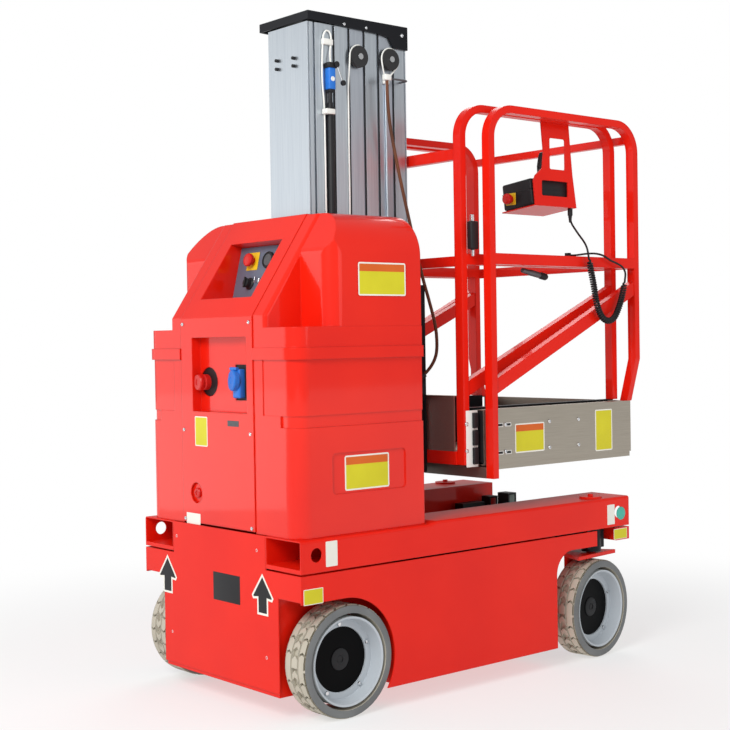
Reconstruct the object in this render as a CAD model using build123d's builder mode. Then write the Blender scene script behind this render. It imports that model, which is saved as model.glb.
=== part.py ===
from build123d import *
from math import atan2, cos, pi, radians, sin, sqrt, tan
import os

os.makedirs("parts", exist_ok=True)

# Vertical mast lift on four wheels. Millimetres. X points forwards, from the power cover towards
# the platform, Y points left and Z points up from the floor.
# Lengths along X are written from the middle of the chassis. The origin of the model lies under
# the middle of its whole length, because the platform overhangs in front.
chassis_middle_x = -33.5

# Driving dimensions: chassis
chassis_half_length = 675
chassis_half_width = 388
rail_inner_y = 231
rail_bottom_z = 410
rail_top_z = 498
rail_front_rise = 7
rail_wall = 4
rail_floor = 12
rail_edge_radius = 8
tie_hole_radius = 19
tie_hole_inset = 53
tie_hole_x = chassis_half_length - tie_hole_inset
tie_hole_z = 457
sheet = 4
skirt_bottom_z = 60
skirt_top_z = 405
rear_plate_half_width = 285
rear_plate_bottom_z = 75
rear_step_z = 335
rear_arch_x = -525
rear_arch_radius = 175
front_arch_x = 324
front_arch_radius = 72
front_skirt_end_x = 516
front_skirt_low_z = 357
tub_half_width = 280
tub_floor = 6
fit = 0.05
deck_tray_plate = 8
crossmember_depth = 65
crossmember_bottom_z = 365
cover_base_z = rail_top_z
deck_lamps = (
    # x, y, height of each housing on the tray, and whether it has a glass
    ((620, 660), (100, 152), 67, True),
    ((600, 640), (172, 212), 52, True),
    ((466, 573), (170, 210), 37, False),
)

# Wheels
wheel_radius = 155
tyre_width = 96
tyre_shoulder = 9
rim_radius = 131
rim_bead_radius = 122
rim_width = 88
disc_radius = 90
disc_depth = 46
disc_thickness = 8
hub_radius = 40
axle_radius = 20
rear_wheel_x = -512
wheel_face_y = chassis_half_width
motor_radius = 62
kingpin_x = 543
kingpin_inset = 49
kingpin_y = chassis_half_width - kingpin_inset
kingpin_radius = 16
wheel_trail = 12
steer_angle = 6.3
steer_plate_z = 318
steer_plate_thickness = 12
knuckle_leg = 12
lamp_frame = 6

# Power cover. Heights of its upper box are written down from its top
cover_rear_x = -668
cover_front_x = -212
cover_half_width = 368
cover_top_z = 1382
cover_shelf_z = cover_top_z - 318
cover_wall = 9
cover_upper_rear_x = -543
cover_upper_step = 2
cover_corner = 48
cover_upper_corner = 42
cover_side_radius = 120
cover_bevel_radius = 40
cover_bevel_setback = 6
cover_front_radius = 118
band_high_z = cover_shelf_z - 55
band_low_z = band_high_z - 33
band_proud = 6
groove_low_z = 794
groove_high_z = 825
groove_depth = 5
groove_start_y = 300
field_depth = 2
field_start_y = 222
sign_recess = (-545, -281, 610, 720)  # from x, to x, from z, to z
sign_recess_depth = 4
console_half_width = 180
console_gap = 0.5
cheek_width = 56
cheek_crest_radius = 12
console_slope_low_z = cover_top_z - 284
console_slope_top_x = -474
console_panel = 6
console_bridge_x = -440
mast_slot_half_width = 136
mast_slot_gap = 3
recess_half_width = 126
recess_z = (cover_top_z - 230, cover_top_z - 64)
dash_low = (-522, cover_top_z - 232)  # x, z of the instrument panel's face
dash_high = (-484, cover_top_z - 76)
dash_plate = 3
charge_recess = (-150, 120, 827, 1040)  # from y, to y, from z, to z
charge_recess_depth = 30
tray_wall = 4

panel_proud = 3
panel_rear_x = cover_rear_x - panel_proud
panel_bend_z = console_slope_low_z - 2
panel_top_z = cover_top_z + panel_proud
panel_half = console_half_width - console_gap

plug_y = 76
socket_y = -82
socket_z = 912
plug_hole_radius = 42
drain_y = 108
drain_z = 590
drain_hole_radius = 30
power_pack_x = (-620, -440)
power_pack_half_width = 310
power_pack_top_z = 790
dash_controls = (
    # y, distance up the panel's face, radius, height
    (52, 112, 20, 26),
    (-26, 112, 25, 8),
    (48, 46, 17, 18),
    (-12, 49, 9, 14),
)

# Mast. It stands to the right of the middle, and heights near its head are written down from its top
mast_y = (-111, 77)
mast_middle_y = sum(mast_y) / 2
mast_half_width = (mast_y[1] - mast_y[0]) / 2
mast_bottom_z = 440
mast_top_z = 1950
mast_seams = (-408, -308, -250, -191, -136, -76, -27)  # x of each column's rear and front
mast_gap = 3
mast_wall = 4
mast_foot_margin = 20
tongue_neck = 20
tongue_head = 34
tongue_head_depth = 7
tongue_slide = 0.5
edge_notch = 5
edge_notch_width = 3
t_slot_x = -384
t_slot_mouth = 7
t_slot_pocket = 14
t_slot_depth = 9
t_slot_lip = 3
cap_clearance = 26
cap_sheet = 4
cap_top_z = mast_top_z + cap_clearance + cap_sheet
cap_skirt = 25
cap_half_width = 118
cap_hook = (-80, -136, 70, 35)  # x of the hook's rear and the flange's rear, drop of each below the cap
pulleys = (
    # column, x, drop below the mast's top
    (3, -224, 84),
    (5, -100, 78),
)
pulley_radius = 32
pulley_rim = 3
pulley_width = 12
pulley_gap = 6
bolt_radius = 9
bolt_head = 5
switch_x = -339
switch_drop = (128, 193)
switch_depth = 30
conduit_radius = 10.5
conduit_clip_drop = (249, 265)
conduit_bottom_z = 530

# Platform: main guard and sliding extension
main_tube = 30
ext_tube = 30
tube_edge = 23
bend_radius = 100
main_outer_y = 330
main_rear_x = -13
main_front_x = 695
main_bottom_z = 649
main_top_z = 1725
ext_outer_y = 388
ext_rear_x = 50
ext_front_x = 742
ext_bottom_z = 607
ext_top_z = 1722
mid_rail_z = (1245, 1278)
main_brace_z = (876, 1168)  # height of the brace's middle at the rear and the front post
ext_brace_z = (882, 1181)
brace_size = 42
brace_thickness = 25
deck_z = 652
deck_plate = 4
side_channel_y = (290, 316)
side_channel_z = (649, 818)
toe_channel_y = (322, 350)
toe_channel_z = (645, 812)
toe_channel_end_x = 737
channel_wall = 3
pad_gap = 0.3
main_pad_x = (520, 640)
pad_length = 40
rear_panel_top_z = 855
carriage_half_width = 175
carriage_top_z = 1190
ext_beam_z = 640
ext_plate_z = 629
kick_high_z = 950
front_top_bar_z = (1655, 1680)
rear_top_bar_z = (1557, 1590)
rear_mid_bar_z = (1241, 1271)
rear_beam_z = (649, 689)
rear_beam_x = (-20, 20)

# Control box, on a plate that hangs under the main guard's top tube
box_x = (325, 505)
box_y = (180, 306)
box_bottom_z = 1443
box_height = (82, 87)  # at its inner and its outer side
box_tilt = 6  # degrees that it leans down towards the platform
box_corner = 8
hanger_y = 308
hanger_sheet = 4
hanger_corner = 12
hanger_right_x = 525
hanger_outline = (
    # x, height above the box's bottom
    (507, 102),
    (499, 175),
    (491, None),
    (361, None),
    (371, 165),
    (365, 115),
    (333, 91),
    (323, 74),
    (331, -hanger_sheet),
)
tray_inner_y = 168
hanger_windows = (
    # x, height above the box's bottom, width, height
    (436, 163, 72, 98),
    (423, 53, 122, 48),
)
stop_button = (213, 23, 17, 12)  # y, height above the box's bottom, radius of the head and the stem
lever_x = (424, 447)  # at its foot and its top
lever_y = 240
lever_top = 180
lever_radius = 12

# Cords
coil_radius = 11
lead_radius = 3.5
hose_radius = 5
clip_width = 12
gland_radius = 8
clip_height = 18
lead_route = [(507, -300, 1416), (507, -300, 1396), (501, -325, 1370), (491, -352, 1347),
              (480, -380, 1326), (466, -405, 1303), (472, -405, 1276)]
coil_route = [(472, -405, 1276), (480, -405, 1240), (496, -405, 1184), (508, -405, 1122), (538, -405, 1076),
              (586, -405, 1074), (617, -405, 1115), (641, -405, 1170), (648, -405, 1206)]
tail_route = [(648, -405, 1206), (654, -405, 1229), (638, -405, 1249), (607, -405, 1260), (577, -405, 1267),
              (554, -398, 1283), (540, -376, 1291), (528, -346, 1291), (518, -320, 1288), (504, -310, 1287),
              (488, -310, 1287)]
hose_route = [(-143, -156, 1800), (-143, -156, 1715), (-121, -158, 1598), (-92, -163, 1470),
              (-65, -172, 1345), (-43, -185, 1228), (-22, -199, 1135), (-5, -206, 1065),
              (-1, -207, 1008), (-5, -205, 970), (-22, -194, 934), (-36, -186, 920)]
hose_gland_length = 32


def level(z):
    return Plane((chassis_middle_x, 0, z))


def side_plane(y):
    """Looks from the right: local x is forwards, local y is up, and it extrudes towards -Y."""
    return Plane((chassis_middle_x, y, 0), x_dir=(1, 0, 0), z_dir=(0, -1, 0))


def cross_plane(x):
    """Looks from the front: local x is left, local y is up, and it extrudes forwards."""
    return Plane((chassis_middle_x + x, 0, 0), x_dir=(0, 1, 0), z_dir=(1, 0, 0))


def place(x, y, z):
    return Vector(chassis_middle_x + x, y, z)


def block(x, y, z, mode=Mode.ADD):
    """A rectangular piece between two x, two y and two z values."""
    with Locations(place((x[0] + x[1]) / 2, (y[0] + y[1]) / 2, (z[0] + z[1]) / 2)):
        Box(x[1] - x[0], y[1] - y[0], z[1] - z[0], mode=mode)


def rod(start, end, radius, mode=Mode.ADD):
    """A round bar from one point to another, in chassis coordinates."""
    a, b = place(*start), place(*end)
    with BuildSketch(Plane(a, z_dir=(b - a))) as round_bar:
        Circle(radius)
    extrude(round_bar.sketch, amount=(b - a).length, mode=mode)


def write(part, name):
    part.label = name
    export_step(part, f"parts/{name}.step")


def mirrored(piece):
    """The left-hand copy of a right-hand piece."""
    with BuildPart() as copy:
        add(piece.part)
        mirror(about=Plane.XZ, mode=Mode.REPLACE)
    return copy


# Chassis rails: the fork pockets run through them
with BuildPart() as rail_right:
    with BuildSketch(side_plane(-rail_inner_y)):
        with BuildLine():
            Polyline(
                (-chassis_half_length, rail_bottom_z),
                (chassis_half_length, rail_bottom_z),
                (chassis_half_length, rail_top_z + rail_front_rise),
                (cover_front_x + 30, rail_top_z + rail_front_rise),
                (cover_front_x + 2, rail_top_z),
                (-chassis_half_length, rail_top_z),
                close=True,
            )
        make_face()
    extrude(amount=chassis_half_width - rail_inner_y)
    outer_edges = rail_right.edges().group_by(Axis.Y)[0]
    fillet([e for e in outer_edges if e.bounding_box().min.Z > rail_top_z - 1], rail_edge_radius)
    block((-chassis_half_length, chassis_half_length),
          (-chassis_half_width + rail_wall, -rail_inner_y - rail_wall),
          (rail_bottom_z + rail_floor, rail_top_z - rail_wall), mode=Mode.SUBTRACT)
    for x in (-tie_hole_x, tie_hole_x):
        rod((x, -chassis_half_width - 5, tie_hole_z), (x, -chassis_half_width + 10, tie_hole_z),
            tie_hole_radius, mode=Mode.SUBTRACT)
    rod((kingpin_x, -kingpin_y, rail_top_z + rail_front_rise),
        (kingpin_x, -kingpin_y, rail_top_z + rail_front_rise + 6), 36)
    rod((kingpin_x, -kingpin_y, rail_top_z + rail_front_rise + 6),
        (kingpin_x, -kingpin_y, rail_top_z + rail_front_rise + 13), 9)
write(rail_right.part, "rail_right")
write(mirrored(rail_right).part, "rail_left")

# Outer sheet metal: both skirts with their wheel arches, and the rear plate
with BuildPart() as chassis_shell:
    arch_z = 155
    with BuildSketch(side_plane(-chassis_half_width + sheet)):
        with BuildLine():
            arch_end = sqrt(rear_arch_radius**2 - (arch_z - skirt_bottom_z) ** 2)
            Line((-chassis_half_length, skirt_top_z), (-chassis_half_length, arch_z + rear_arch_radius))
            Line((-chassis_half_length, arch_z + rear_arch_radius), (rear_arch_x, arch_z + rear_arch_radius))
            ThreePointArc((rear_arch_x, arch_z + rear_arch_radius),
                          (rear_arch_x + rear_arch_radius * cos(radians(40)),
                           arch_z + rear_arch_radius * sin(radians(40))),
                          (rear_arch_x + arch_end, skirt_bottom_z))
            Line((rear_arch_x + arch_end, skirt_bottom_z), (front_arch_x, skirt_bottom_z))
            corner = front_skirt_low_z - front_arch_radius
            Line((front_arch_x, skirt_bottom_z), (front_arch_x, corner))
            ThreePointArc((front_arch_x, corner),
                          (front_arch_x + front_arch_radius * (1 - sin(radians(45))),
                           corner + front_arch_radius * sin(radians(45))),
                          (front_arch_x + front_arch_radius, front_skirt_low_z))
            Line((front_arch_x + front_arch_radius, front_skirt_low_z),
                 (front_skirt_end_x, front_skirt_low_z))
            Line((front_skirt_end_x, front_skirt_low_z), (front_skirt_end_x, skirt_top_z))
            Line((front_skirt_end_x, skirt_top_z), (-chassis_half_length, skirt_top_z))
        make_face()
    extrude(amount=sheet)
    mirror(about=Plane.XZ)
    with BuildSketch(cross_plane(-chassis_half_length)):
        with BuildLine():
            half = chassis_half_width - sheet
            centre = rail_inner_y - 1
            outline = [(rear_plate_half_width, rear_plate_bottom_z), (rear_plate_half_width, rear_step_z),
                       (half, rear_step_z), (half, skirt_top_z), (centre, skirt_top_z),
                       (centre, rail_top_z)]
            Polyline(*outline, *[(-y, z) for y, z in reversed(outline)], close=True)
        make_face()
    extrude(amount=sheet)
write(chassis_shell.part, "chassis_shell")

# Inner tub: narrow between the rear wheels, full width between the axles, open on top
tub_rear_x = -chassis_half_length + sheet
tub_step_x = rear_arch_x + rear_arch_radius + 4
tub_outline = [(tub_rear_x, tub_half_width), (tub_step_x, tub_half_width),
               (tub_step_x, chassis_half_width - sheet), (front_arch_x, chassis_half_width - sheet)]
tub_outline += [(x, -y) for x, y in reversed(tub_outline)]
tub_low_z = skirt_bottom_z + sheet
with BuildPart() as chassis_tub:
    with BuildSketch(level(tub_low_z)):
        with BuildLine():
            Polyline(*tub_outline, close=True)
        make_face()
    extrude(amount=skirt_top_z - tub_low_z)
    with BuildSketch(level(tub_low_z + tub_floor)):
        with BuildLine():
            Polyline(*tub_outline, close=True)
        make_face()
        offset(amount=-sheet, mode=Mode.REPLACE)
    extrude(amount=skirt_top_z - tub_low_z, mode=Mode.SUBTRACT)
write(chassis_tub.part, "chassis_tub")

# Batteries, one closed block low in the tub
with BuildPart() as battery_block:
    block((tub_step_x + 40, front_arch_x - 60), (-190, 190), (tub_low_z + tub_floor, 360))
    fillet(battery_block.edges().filter_by(Axis.Z), 12)
write(battery_block.part, "battery_block")

# Deck tray between the rails, with the mast's foot
tray_top_z = skirt_top_z + deck_tray_plate
with BuildPart() as deck_tray:
    block((-chassis_half_length + sheet, chassis_half_length), (-rail_inner_y, rail_inner_y),
          (skirt_top_z, tray_top_z))
    block((mast_seams[0] - mast_foot_margin, mast_seams[1] - mast_gap),
          (mast_y[0] - mast_foot_margin, mast_y[1] + mast_foot_margin), (tray_top_z, mast_bottom_z))
write(deck_tray.part, "deck_tray")

# Two lamps and a low junction box at the front of the tray. Each lamp's glass is set back in its frame
with BuildPart() as deck_lamps_part:
    for x, y, height, has_glass in deck_lamps:
        block(x, y, (tray_top_z, tray_top_z + height))
        if has_glass:
            block((x[0] + lamp_frame, x[1] - lamp_frame), (y[0], y[0] + lamp_frame),
                  (tray_top_z + 2 * lamp_frame, tray_top_z + height - lamp_frame), mode=Mode.SUBTRACT)
write(deck_lamps_part.part, "deck_lamps")

# Front crossmember, and the beam that carries both kingpins
with BuildPart() as front_crossmember:
    block((chassis_half_length - crossmember_depth, chassis_half_length),
          (-chassis_half_width, chassis_half_width), (crossmember_bottom_z, skirt_top_z))
write(front_crossmember.part, "front_crossmember")

steer_plate_top_z = steer_plate_z + steer_plate_thickness
beam_low_z = steer_plate_top_z + 15
with BuildPart() as steer_beam:
    block((kingpin_x - 40, kingpin_x + 40), (-kingpin_y - 20, kingpin_y + 20), (beam_low_z, skirt_top_z))
    for y in (-kingpin_y, kingpin_y):
        rod((kingpin_x, y, steer_plate_top_z + 5), (kingpin_x, y, rail_bottom_z), 2 * kingpin_radius)
        rod((kingpin_x, y, steer_plate_top_z), (kingpin_x, y, rail_bottom_z),
            kingpin_radius + fit, mode=Mode.SUBTRACT)
write(steer_beam.part, "steer_beam")

# Rear hub motors with their shafts
hub_depth = disc_depth + disc_thickness
with BuildPart() as drive_motors:
    for side in (-1, 1):
        rod((rear_wheel_x, side * tub_half_width, wheel_radius),
            (rear_wheel_x, side * (tub_half_width + 8), wheel_radius), motor_radius)
        rod((rear_wheel_x, side * tub_half_width, wheel_radius),
            (rear_wheel_x, side * (wheel_face_y - hub_depth), wheel_radius), axle_radius)
write(drive_motors.part, "drive_motors")


def build_wheel(name, side, x, y, turn):
    """A solid tyre on a dished rim. Sections: first value from the axle, second outwards."""
    outwards = Vector(-side * sin(radians(turn)), side * cos(radians(turn)), 0)
    centre = place(x, y, wheel_radius)
    section = Plane(centre, x_dir=(0, 0, 1), z_dir=Vector(0, 0, 1).cross(outwards))
    axle = Axis(centre, outwards)
    face = tyre_width / 2
    lip = 2
    with BuildPart() as tyre:
        with BuildSketch(section) as tyre_section:
            with BuildLine():
                Polyline((rim_bead_radius, -face + lip), (wheel_radius, -face + lip),
                         (wheel_radius, face - lip), (rim_bead_radius, face - lip), close=True)
            make_face()
            fillet(tyre_section.vertices().group_by(Axis.X)[-1], tyre_shoulder)
        revolve(axis=axle)
    write(tyre.part, f"tyre_{name}")
    disc_y = face - disc_depth
    with BuildPart() as rim:
        with BuildSketch(section):
            with BuildLine():
                Polyline(
                    (0, disc_y),
                    (disc_radius, disc_y),
                    (disc_radius, disc_y + 5),
                    (rim_bead_radius - 14, disc_y + 5),
                    (rim_bead_radius - 6, face - lip - 4),
                    (rim_radius, face),
                    (rim_radius, face - lip),
                    (rim_bead_radius, face - lip),
                    (rim_bead_radius, face - rim_width),
                    (rim_bead_radius - 6, face - rim_width),
                    (rim_bead_radius - 16, disc_y - disc_thickness),
                    (hub_radius, disc_y - disc_thickness),
                    (hub_radius, disc_y - disc_thickness - 16),
                    (axle_radius + fit, disc_y - disc_thickness - 16),
                    (axle_radius + fit, disc_y - disc_thickness),
                    (0, disc_y - disc_thickness),
                    close=True,
                )
            make_face()
        revolve(axis=axle)
    write(rim.part, f"rim_{name}")


def build_knuckle(name, side):
    """Turns about its kingpin: top plate, inner leg and stub axle."""
    turn = radians(steer_angle)
    steer = Plane(place(kingpin_x, side * kingpin_y, 0), x_dir=(cos(turn), sin(turn), 0))
    half = tyre_width / 2
    leg_y = (half + 8, half + 8 + knuckle_leg)
    with BuildPart() as knuckle:
        with BuildSketch(steer.offset(steer_plate_z)):
            with BuildLine():
                Polyline((-112, side * half * 0.6), (96, side * half * 0.6), (40, -side * leg_y[1]),
                         (-60, -side * leg_y[1]), close=True)
            make_face()
        extrude(amount=steer_plate_thickness)
        with BuildSketch(steer.offset(wheel_radius - 45)):
            with Locations((-wheel_trail, -side * (leg_y[0] + leg_y[1]) / 2)):
                Rectangle(84, knuckle_leg)
        extrude(amount=steer_plate_z - wheel_radius + 45)
        with BuildSketch(steer.offset(steer_plate_top_z)):
            Circle(kingpin_radius)
        extrude(amount=rail_bottom_z - steer_plate_top_z - 3)
        stub_start = steer.from_local_coords((-wheel_trail, -side * leg_y[0], wheel_radius))
        stub_end = steer.from_local_coords((-wheel_trail, side * (half - hub_depth), wheel_radius))
        with BuildSketch(Plane(stub_start, z_dir=(stub_end - stub_start))) as stub:
            Circle(axle_radius)
        extrude(amount=(stub_end - stub_start).length)
    write(knuckle.part, f"knuckle_{name}")


build_wheel("rear_right", -1, rear_wheel_x, -wheel_face_y + tyre_width / 2, 0)
build_wheel("rear_left", 1, rear_wheel_x, wheel_face_y - tyre_width / 2, 0)
for name, side in (("right", -1), ("left", 1)):
    turn = radians(steer_angle)
    build_wheel(f"front_{name}", side, kingpin_x - wheel_trail * cos(turn),
                side * kingpin_y - wheel_trail * sin(turn), steer_angle)
build_knuckle("right", -1)
build_knuckle("left", 1)

slope_angle = atan2(cover_top_z - console_slope_low_z, console_slope_top_x - cover_rear_x)


def cover_body(inset):
    """The right-hand cover's outer form, or its inner form when every wall is inset."""
    low = cover_base_z - (20 if inset else 0)
    past = 20 if inset else 0
    rear, front, outer = cover_rear_x + inset, cover_front_x - inset, -cover_half_width + inset
    with BuildPart() as form:
        with BuildSketch(level(low)) as plan:
            with BuildLine():
                Polyline((rear, -console_half_width + past), (rear, outer), (front, outer),
                         (front, -console_half_width + past), close=True)
            make_face()
            corners = plan.vertices().group_by(Axis.Y)[0].sort_by(Axis.X)
            fillet(corners[0], cover_corner - inset)
            fillet(corners[-1], (cover_corner - inset) / 3)
        extrude(amount=cover_shelf_z - inset - low)
    upper_rear = cover_upper_rear_x + inset
    upper_outer = outer + cover_upper_step
    slot_y = -mast_slot_half_width + past
    top = cover_top_z - inset
    with BuildPart() as upper:
        with BuildSketch(side_plane(0)) as profile:
            with BuildLine():
                bevel_top_x = console_slope_top_x + cover_bevel_setback
                bevel_z = cover_top_z - (bevel_top_x - cover_upper_rear_x) * tan(slope_angle)
                Polyline((cover_upper_rear_x, low), (cover_front_x, low), (cover_front_x, cover_top_z),
                         (bevel_top_x, cover_top_z), (cover_upper_rear_x, bevel_z), close=True)
            make_face()
            corners = profile.vertices()
            fillet(corners.sort_by_distance((cover_upper_rear_x, bevel_z))[0], cover_bevel_radius)
            fillet(corners.sort_by_distance((bevel_top_x, cover_top_z))[0], cover_bevel_radius)
            fillet(corners.sort_by_distance((cover_front_x, cover_top_z))[0], cover_front_radius)
            if inset:
                offset(amount=-inset, mode=Mode.REPLACE)
        extrude(amount=cover_half_width)
        with BuildSketch(cross_plane(cover_rear_x - 1)) as section:
            with BuildLine():
                Polyline((slot_y, low), (slot_y, top), (upper_outer, top), (upper_outer, low), close=True)
            make_face()
            fillet(section.vertices().group_by(Axis.Y)[-1].sort_by(Axis.X)[0], cover_side_radius - inset)
        extrude(amount=chassis_half_length, mode=Mode.INTERSECT)
        with BuildSketch(level(low)) as plan:
            with BuildLine():
                Polyline((upper_rear, slot_y), (upper_rear, upper_outer), (front, upper_outer),
                         (front, slot_y), close=True)
            make_face()
            corners = plan.vertices().group_by(Axis.Y)[0].sort_by(Axis.X)
            fillet(corners[0], cover_upper_corner - inset)
            fillet(corners[-1], (cover_corner - inset) / 3)
        extrude(amount=top - low, mode=Mode.INTERSECT)
        block((cover_rear_x, console_bridge_x + inset), (-console_half_width + past, 0), (low, top),
              mode=Mode.SUBTRACT)
    return form.part + upper.part


def skin_cut(depth, start_y, z):
    """Cuts a shallow field into the cover's skin, from a line on its rear face round to its front."""
    with BuildSketch(level(z[0]), mode=Mode.PRIVATE) as kept:
        with BuildLine():
            Polyline((cover_rear_x + depth, -start_y), (cover_rear_x + depth, -cover_half_width + depth),
                     (cover_front_x + 1, -cover_half_width + depth), (cover_front_x + 1, -start_y),
                     close=True)
        make_face()
        fillet(kept.vertices().group_by(Axis.Y)[0].sort_by(Axis.X)[0], cover_corner - depth)
    with BuildSketch(level(z[0])) as field:
        with BuildLine():
            Polyline((cover_rear_x - 1, -start_y), (cover_rear_x - 1, -cover_half_width - 1),
                     (cover_front_x + 1, -cover_half_width - 1), (cover_front_x + 1, -start_y), close=True)
        make_face()
        add(kept.sketch_local, mode=Mode.SUBTRACT)
    extrude(field.sketch, amount=z[1] - z[0], mode=Mode.SUBTRACT)


# Right-hand half of the power cover: shelf, cheek beside the console, belt, fields and recess
cheek_front_x = console_slope_top_x + cover_bevel_setback + cover_bevel_radius
cheek_low_z = cover_shelf_z - 60


def cheek_profile(inset):
    """Side view of the cheek, or of its inner form."""
    shift = inset / sin(slope_angle)
    rise = inset * tan((pi / 2 - slope_angle) / 2)
    Polyline((cover_rear_x + inset, cheek_low_z), (cover_rear_x + inset, console_slope_low_z - rise),
             (console_slope_top_x + shift - inset / tan(slope_angle), cover_top_z - inset),
             (cheek_front_x, cover_top_z - inset), (cheek_front_x, cheek_low_z), close=True)


with BuildPart() as cover_right:
    with BuildSketch(side_plane(-console_half_width)):
        with BuildLine():
            cheek_profile(0)
        make_face()
    extrude(amount=cheek_width)
    outer_edges = cover_right.edges().group_by(Axis.Y)[0].sort_by(Axis.X)
    fillet(outer_edges[:2], cheek_crest_radius)
    add(cover_body(0))
    with BuildSketch(level(band_low_z)) as belt:
        with BuildLine():
            Polyline((cover_rear_x - band_proud, -console_half_width),
                     (cover_rear_x - band_proud, -cover_half_width - band_proud),
                     (cover_front_x, -cover_half_width - band_proud), (cover_front_x, -console_half_width),
                     close=True)
        make_face()
        fillet(belt.vertices().group_by(Axis.Y)[0].sort_by(Axis.X)[0], cover_corner + band_proud)
    extrude(amount=band_high_z - band_low_z)
    add(cover_body(cover_wall), mode=Mode.SUBTRACT)
    with BuildSketch(side_plane(-console_half_width + 20)):
        with BuildLine():
            cheek_profile(cover_wall)
        make_face()
    extrude(amount=cheek_width + 20 - cover_wall, mode=Mode.SUBTRACT)
    skin_cut(groove_depth, groove_start_y, (groove_low_z, groove_high_z))
    skin_cut(field_depth, field_start_y, (groove_high_z, band_low_z))
    with BuildSketch(side_plane(-cover_half_width + sign_recess_depth)):
        low_x, high_x, low_z, high_z = sign_recess
        with Locations(((low_x + high_x) / 2, (low_z + high_z) / 2)):
            RectangleRounded(high_x - low_x, high_z - low_z, 12)
    extrude(amount=sign_recess_depth, mode=Mode.SUBTRACT)
write(cover_right.part, "cover_right")
write(mirrored(cover_right).part, "cover_left")


def panel_x(z, depth=0):
    """X of the console's slope at height z, or of a line that lies deeper behind it."""
    return panel_rear_x + (z - panel_bend_z) / tan(slope_angle) + depth / sin(slope_angle)


# Console between the covers: service panel, instrument recess and charging recess
mast_slot_rear_x = mast_seams[0] - mast_slot_gap
with BuildPart() as service_panel:
    with BuildSketch(side_plane(panel_half)):
        with BuildLine():
            Polyline((panel_rear_x, cover_base_z + 5), (panel_rear_x, panel_bend_z),
                     (panel_x(panel_top_z), panel_top_z), (console_bridge_x, panel_top_z))
            offset(amount=console_panel, side=Side.RIGHT)
        make_face()
    extrude(amount=2 * panel_half)
    bridge_half = mast_slot_half_width - console_gap
    block((console_bridge_x, mast_slot_rear_x), (-bridge_half, bridge_half),
          (panel_top_z - console_panel, panel_top_z))
    low_z, high_z = recess_z
    for margin, mode in ((tray_wall, Mode.ADD), (0, Mode.SUBTRACT)):
        mouth = 2 if margin else -12
        with BuildSketch(side_plane(recess_half_width + margin)):
            with BuildLine():
                Polyline((panel_x(low_z, mouth), low_z - margin),
                         (panel_x(high_z, mouth), high_z + margin),
                         (dash_high[0] + dash_plate + margin, dash_high[1] + margin),
                         (dash_low[0] + dash_plate + margin, dash_low[1] - 2 - margin), close=True)
            make_face()
        extrude(amount=2 * (recess_half_width + margin), mode=mode)
    low_y, high_y, low_z, high_z = charge_recess
    for margin, mode in ((tray_wall, Mode.ADD), (0, Mode.SUBTRACT)):
        block((panel_rear_x + (1 if margin else -1), panel_rear_x + charge_recess_depth + margin),
              (low_y - margin, high_y + margin), (low_z - margin, high_z + margin), mode=mode)
    rod((panel_rear_x, plug_y, socket_z), (panel_rear_x + 60, plug_y, socket_z), plug_hole_radius,
        mode=Mode.SUBTRACT)
    block((panel_rear_x, panel_rear_x + 60), (socket_y - 26, socket_y + 26), (socket_z - 50, socket_z + 50),
          mode=Mode.SUBTRACT)
    rod((panel_rear_x - 5, drain_y, drain_z), (panel_rear_x + 20, drain_y, drain_z), drain_hole_radius,
        mode=Mode.SUBTRACT)
write(service_panel.part, "service_panel")

# Instrument panel in the recess, with its push button, gauge, selector and key
with BuildPart() as control_panel:
    dash_half = recess_half_width - 0.3
    with BuildSketch(side_plane(dash_half)):
        with BuildLine():
            Polyline(dash_low, dash_high, (dash_high[0] + dash_plate, dash_high[1]),
                     (dash_low[0] + dash_plate, dash_low[1]), close=True)
        make_face()
    extrude(amount=2 * dash_half)
    lean = atan2(dash_high[1] - dash_low[1], dash_high[0] - dash_low[0])
    towards = Vector(-sin(lean), 0, cos(lean))
    for y, rise, radius, height in dash_controls:
        centre = place(dash_low[0] + rise / tan(lean), y, dash_low[1] + rise)
        with BuildSketch(Plane(centre, z_dir=towards)):
            Circle(radius)
        extrude(amount=height)
write(control_panel.part, "control_panel")

# Battery plug, charging socket with its lid, and the drain plug below
with BuildPart() as sockets:
    floor_x = panel_rear_x + charge_recess_depth
    behind_x = floor_x + tray_wall
    rod((behind_x, plug_y, socket_z), (behind_x + 4, plug_y, socket_z), plug_hole_radius + 8)
    rod((floor_x - 22, plug_y, socket_z), (behind_x, plug_y, socket_z), 24)
    block((behind_x, behind_x + 10), (socket_y - 34, socket_y + 34), (socket_z - 58, socket_z + 58))
    rod((floor_x - 26, socket_y, socket_z), (behind_x, socket_y, socket_z), 24)
    inside_x = panel_rear_x + console_panel
    rod((inside_x, drain_y, drain_z), (inside_x + 20, drain_y, drain_z), drain_hole_radius + 8)
    rod((panel_rear_x, drain_y, drain_z), (inside_x, drain_y, drain_z), 15)
write(sockets.part, "sockets")

# Power pack behind the console, one closed block
with BuildPart() as power_pack:
    block(power_pack_x, (-power_pack_half_width, power_pack_half_width), (rail_top_z, power_pack_top_z))
    fillet(power_pack.edges().filter_by(Axis.Z), 20)
write(power_pack.part, "power_pack")

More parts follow.
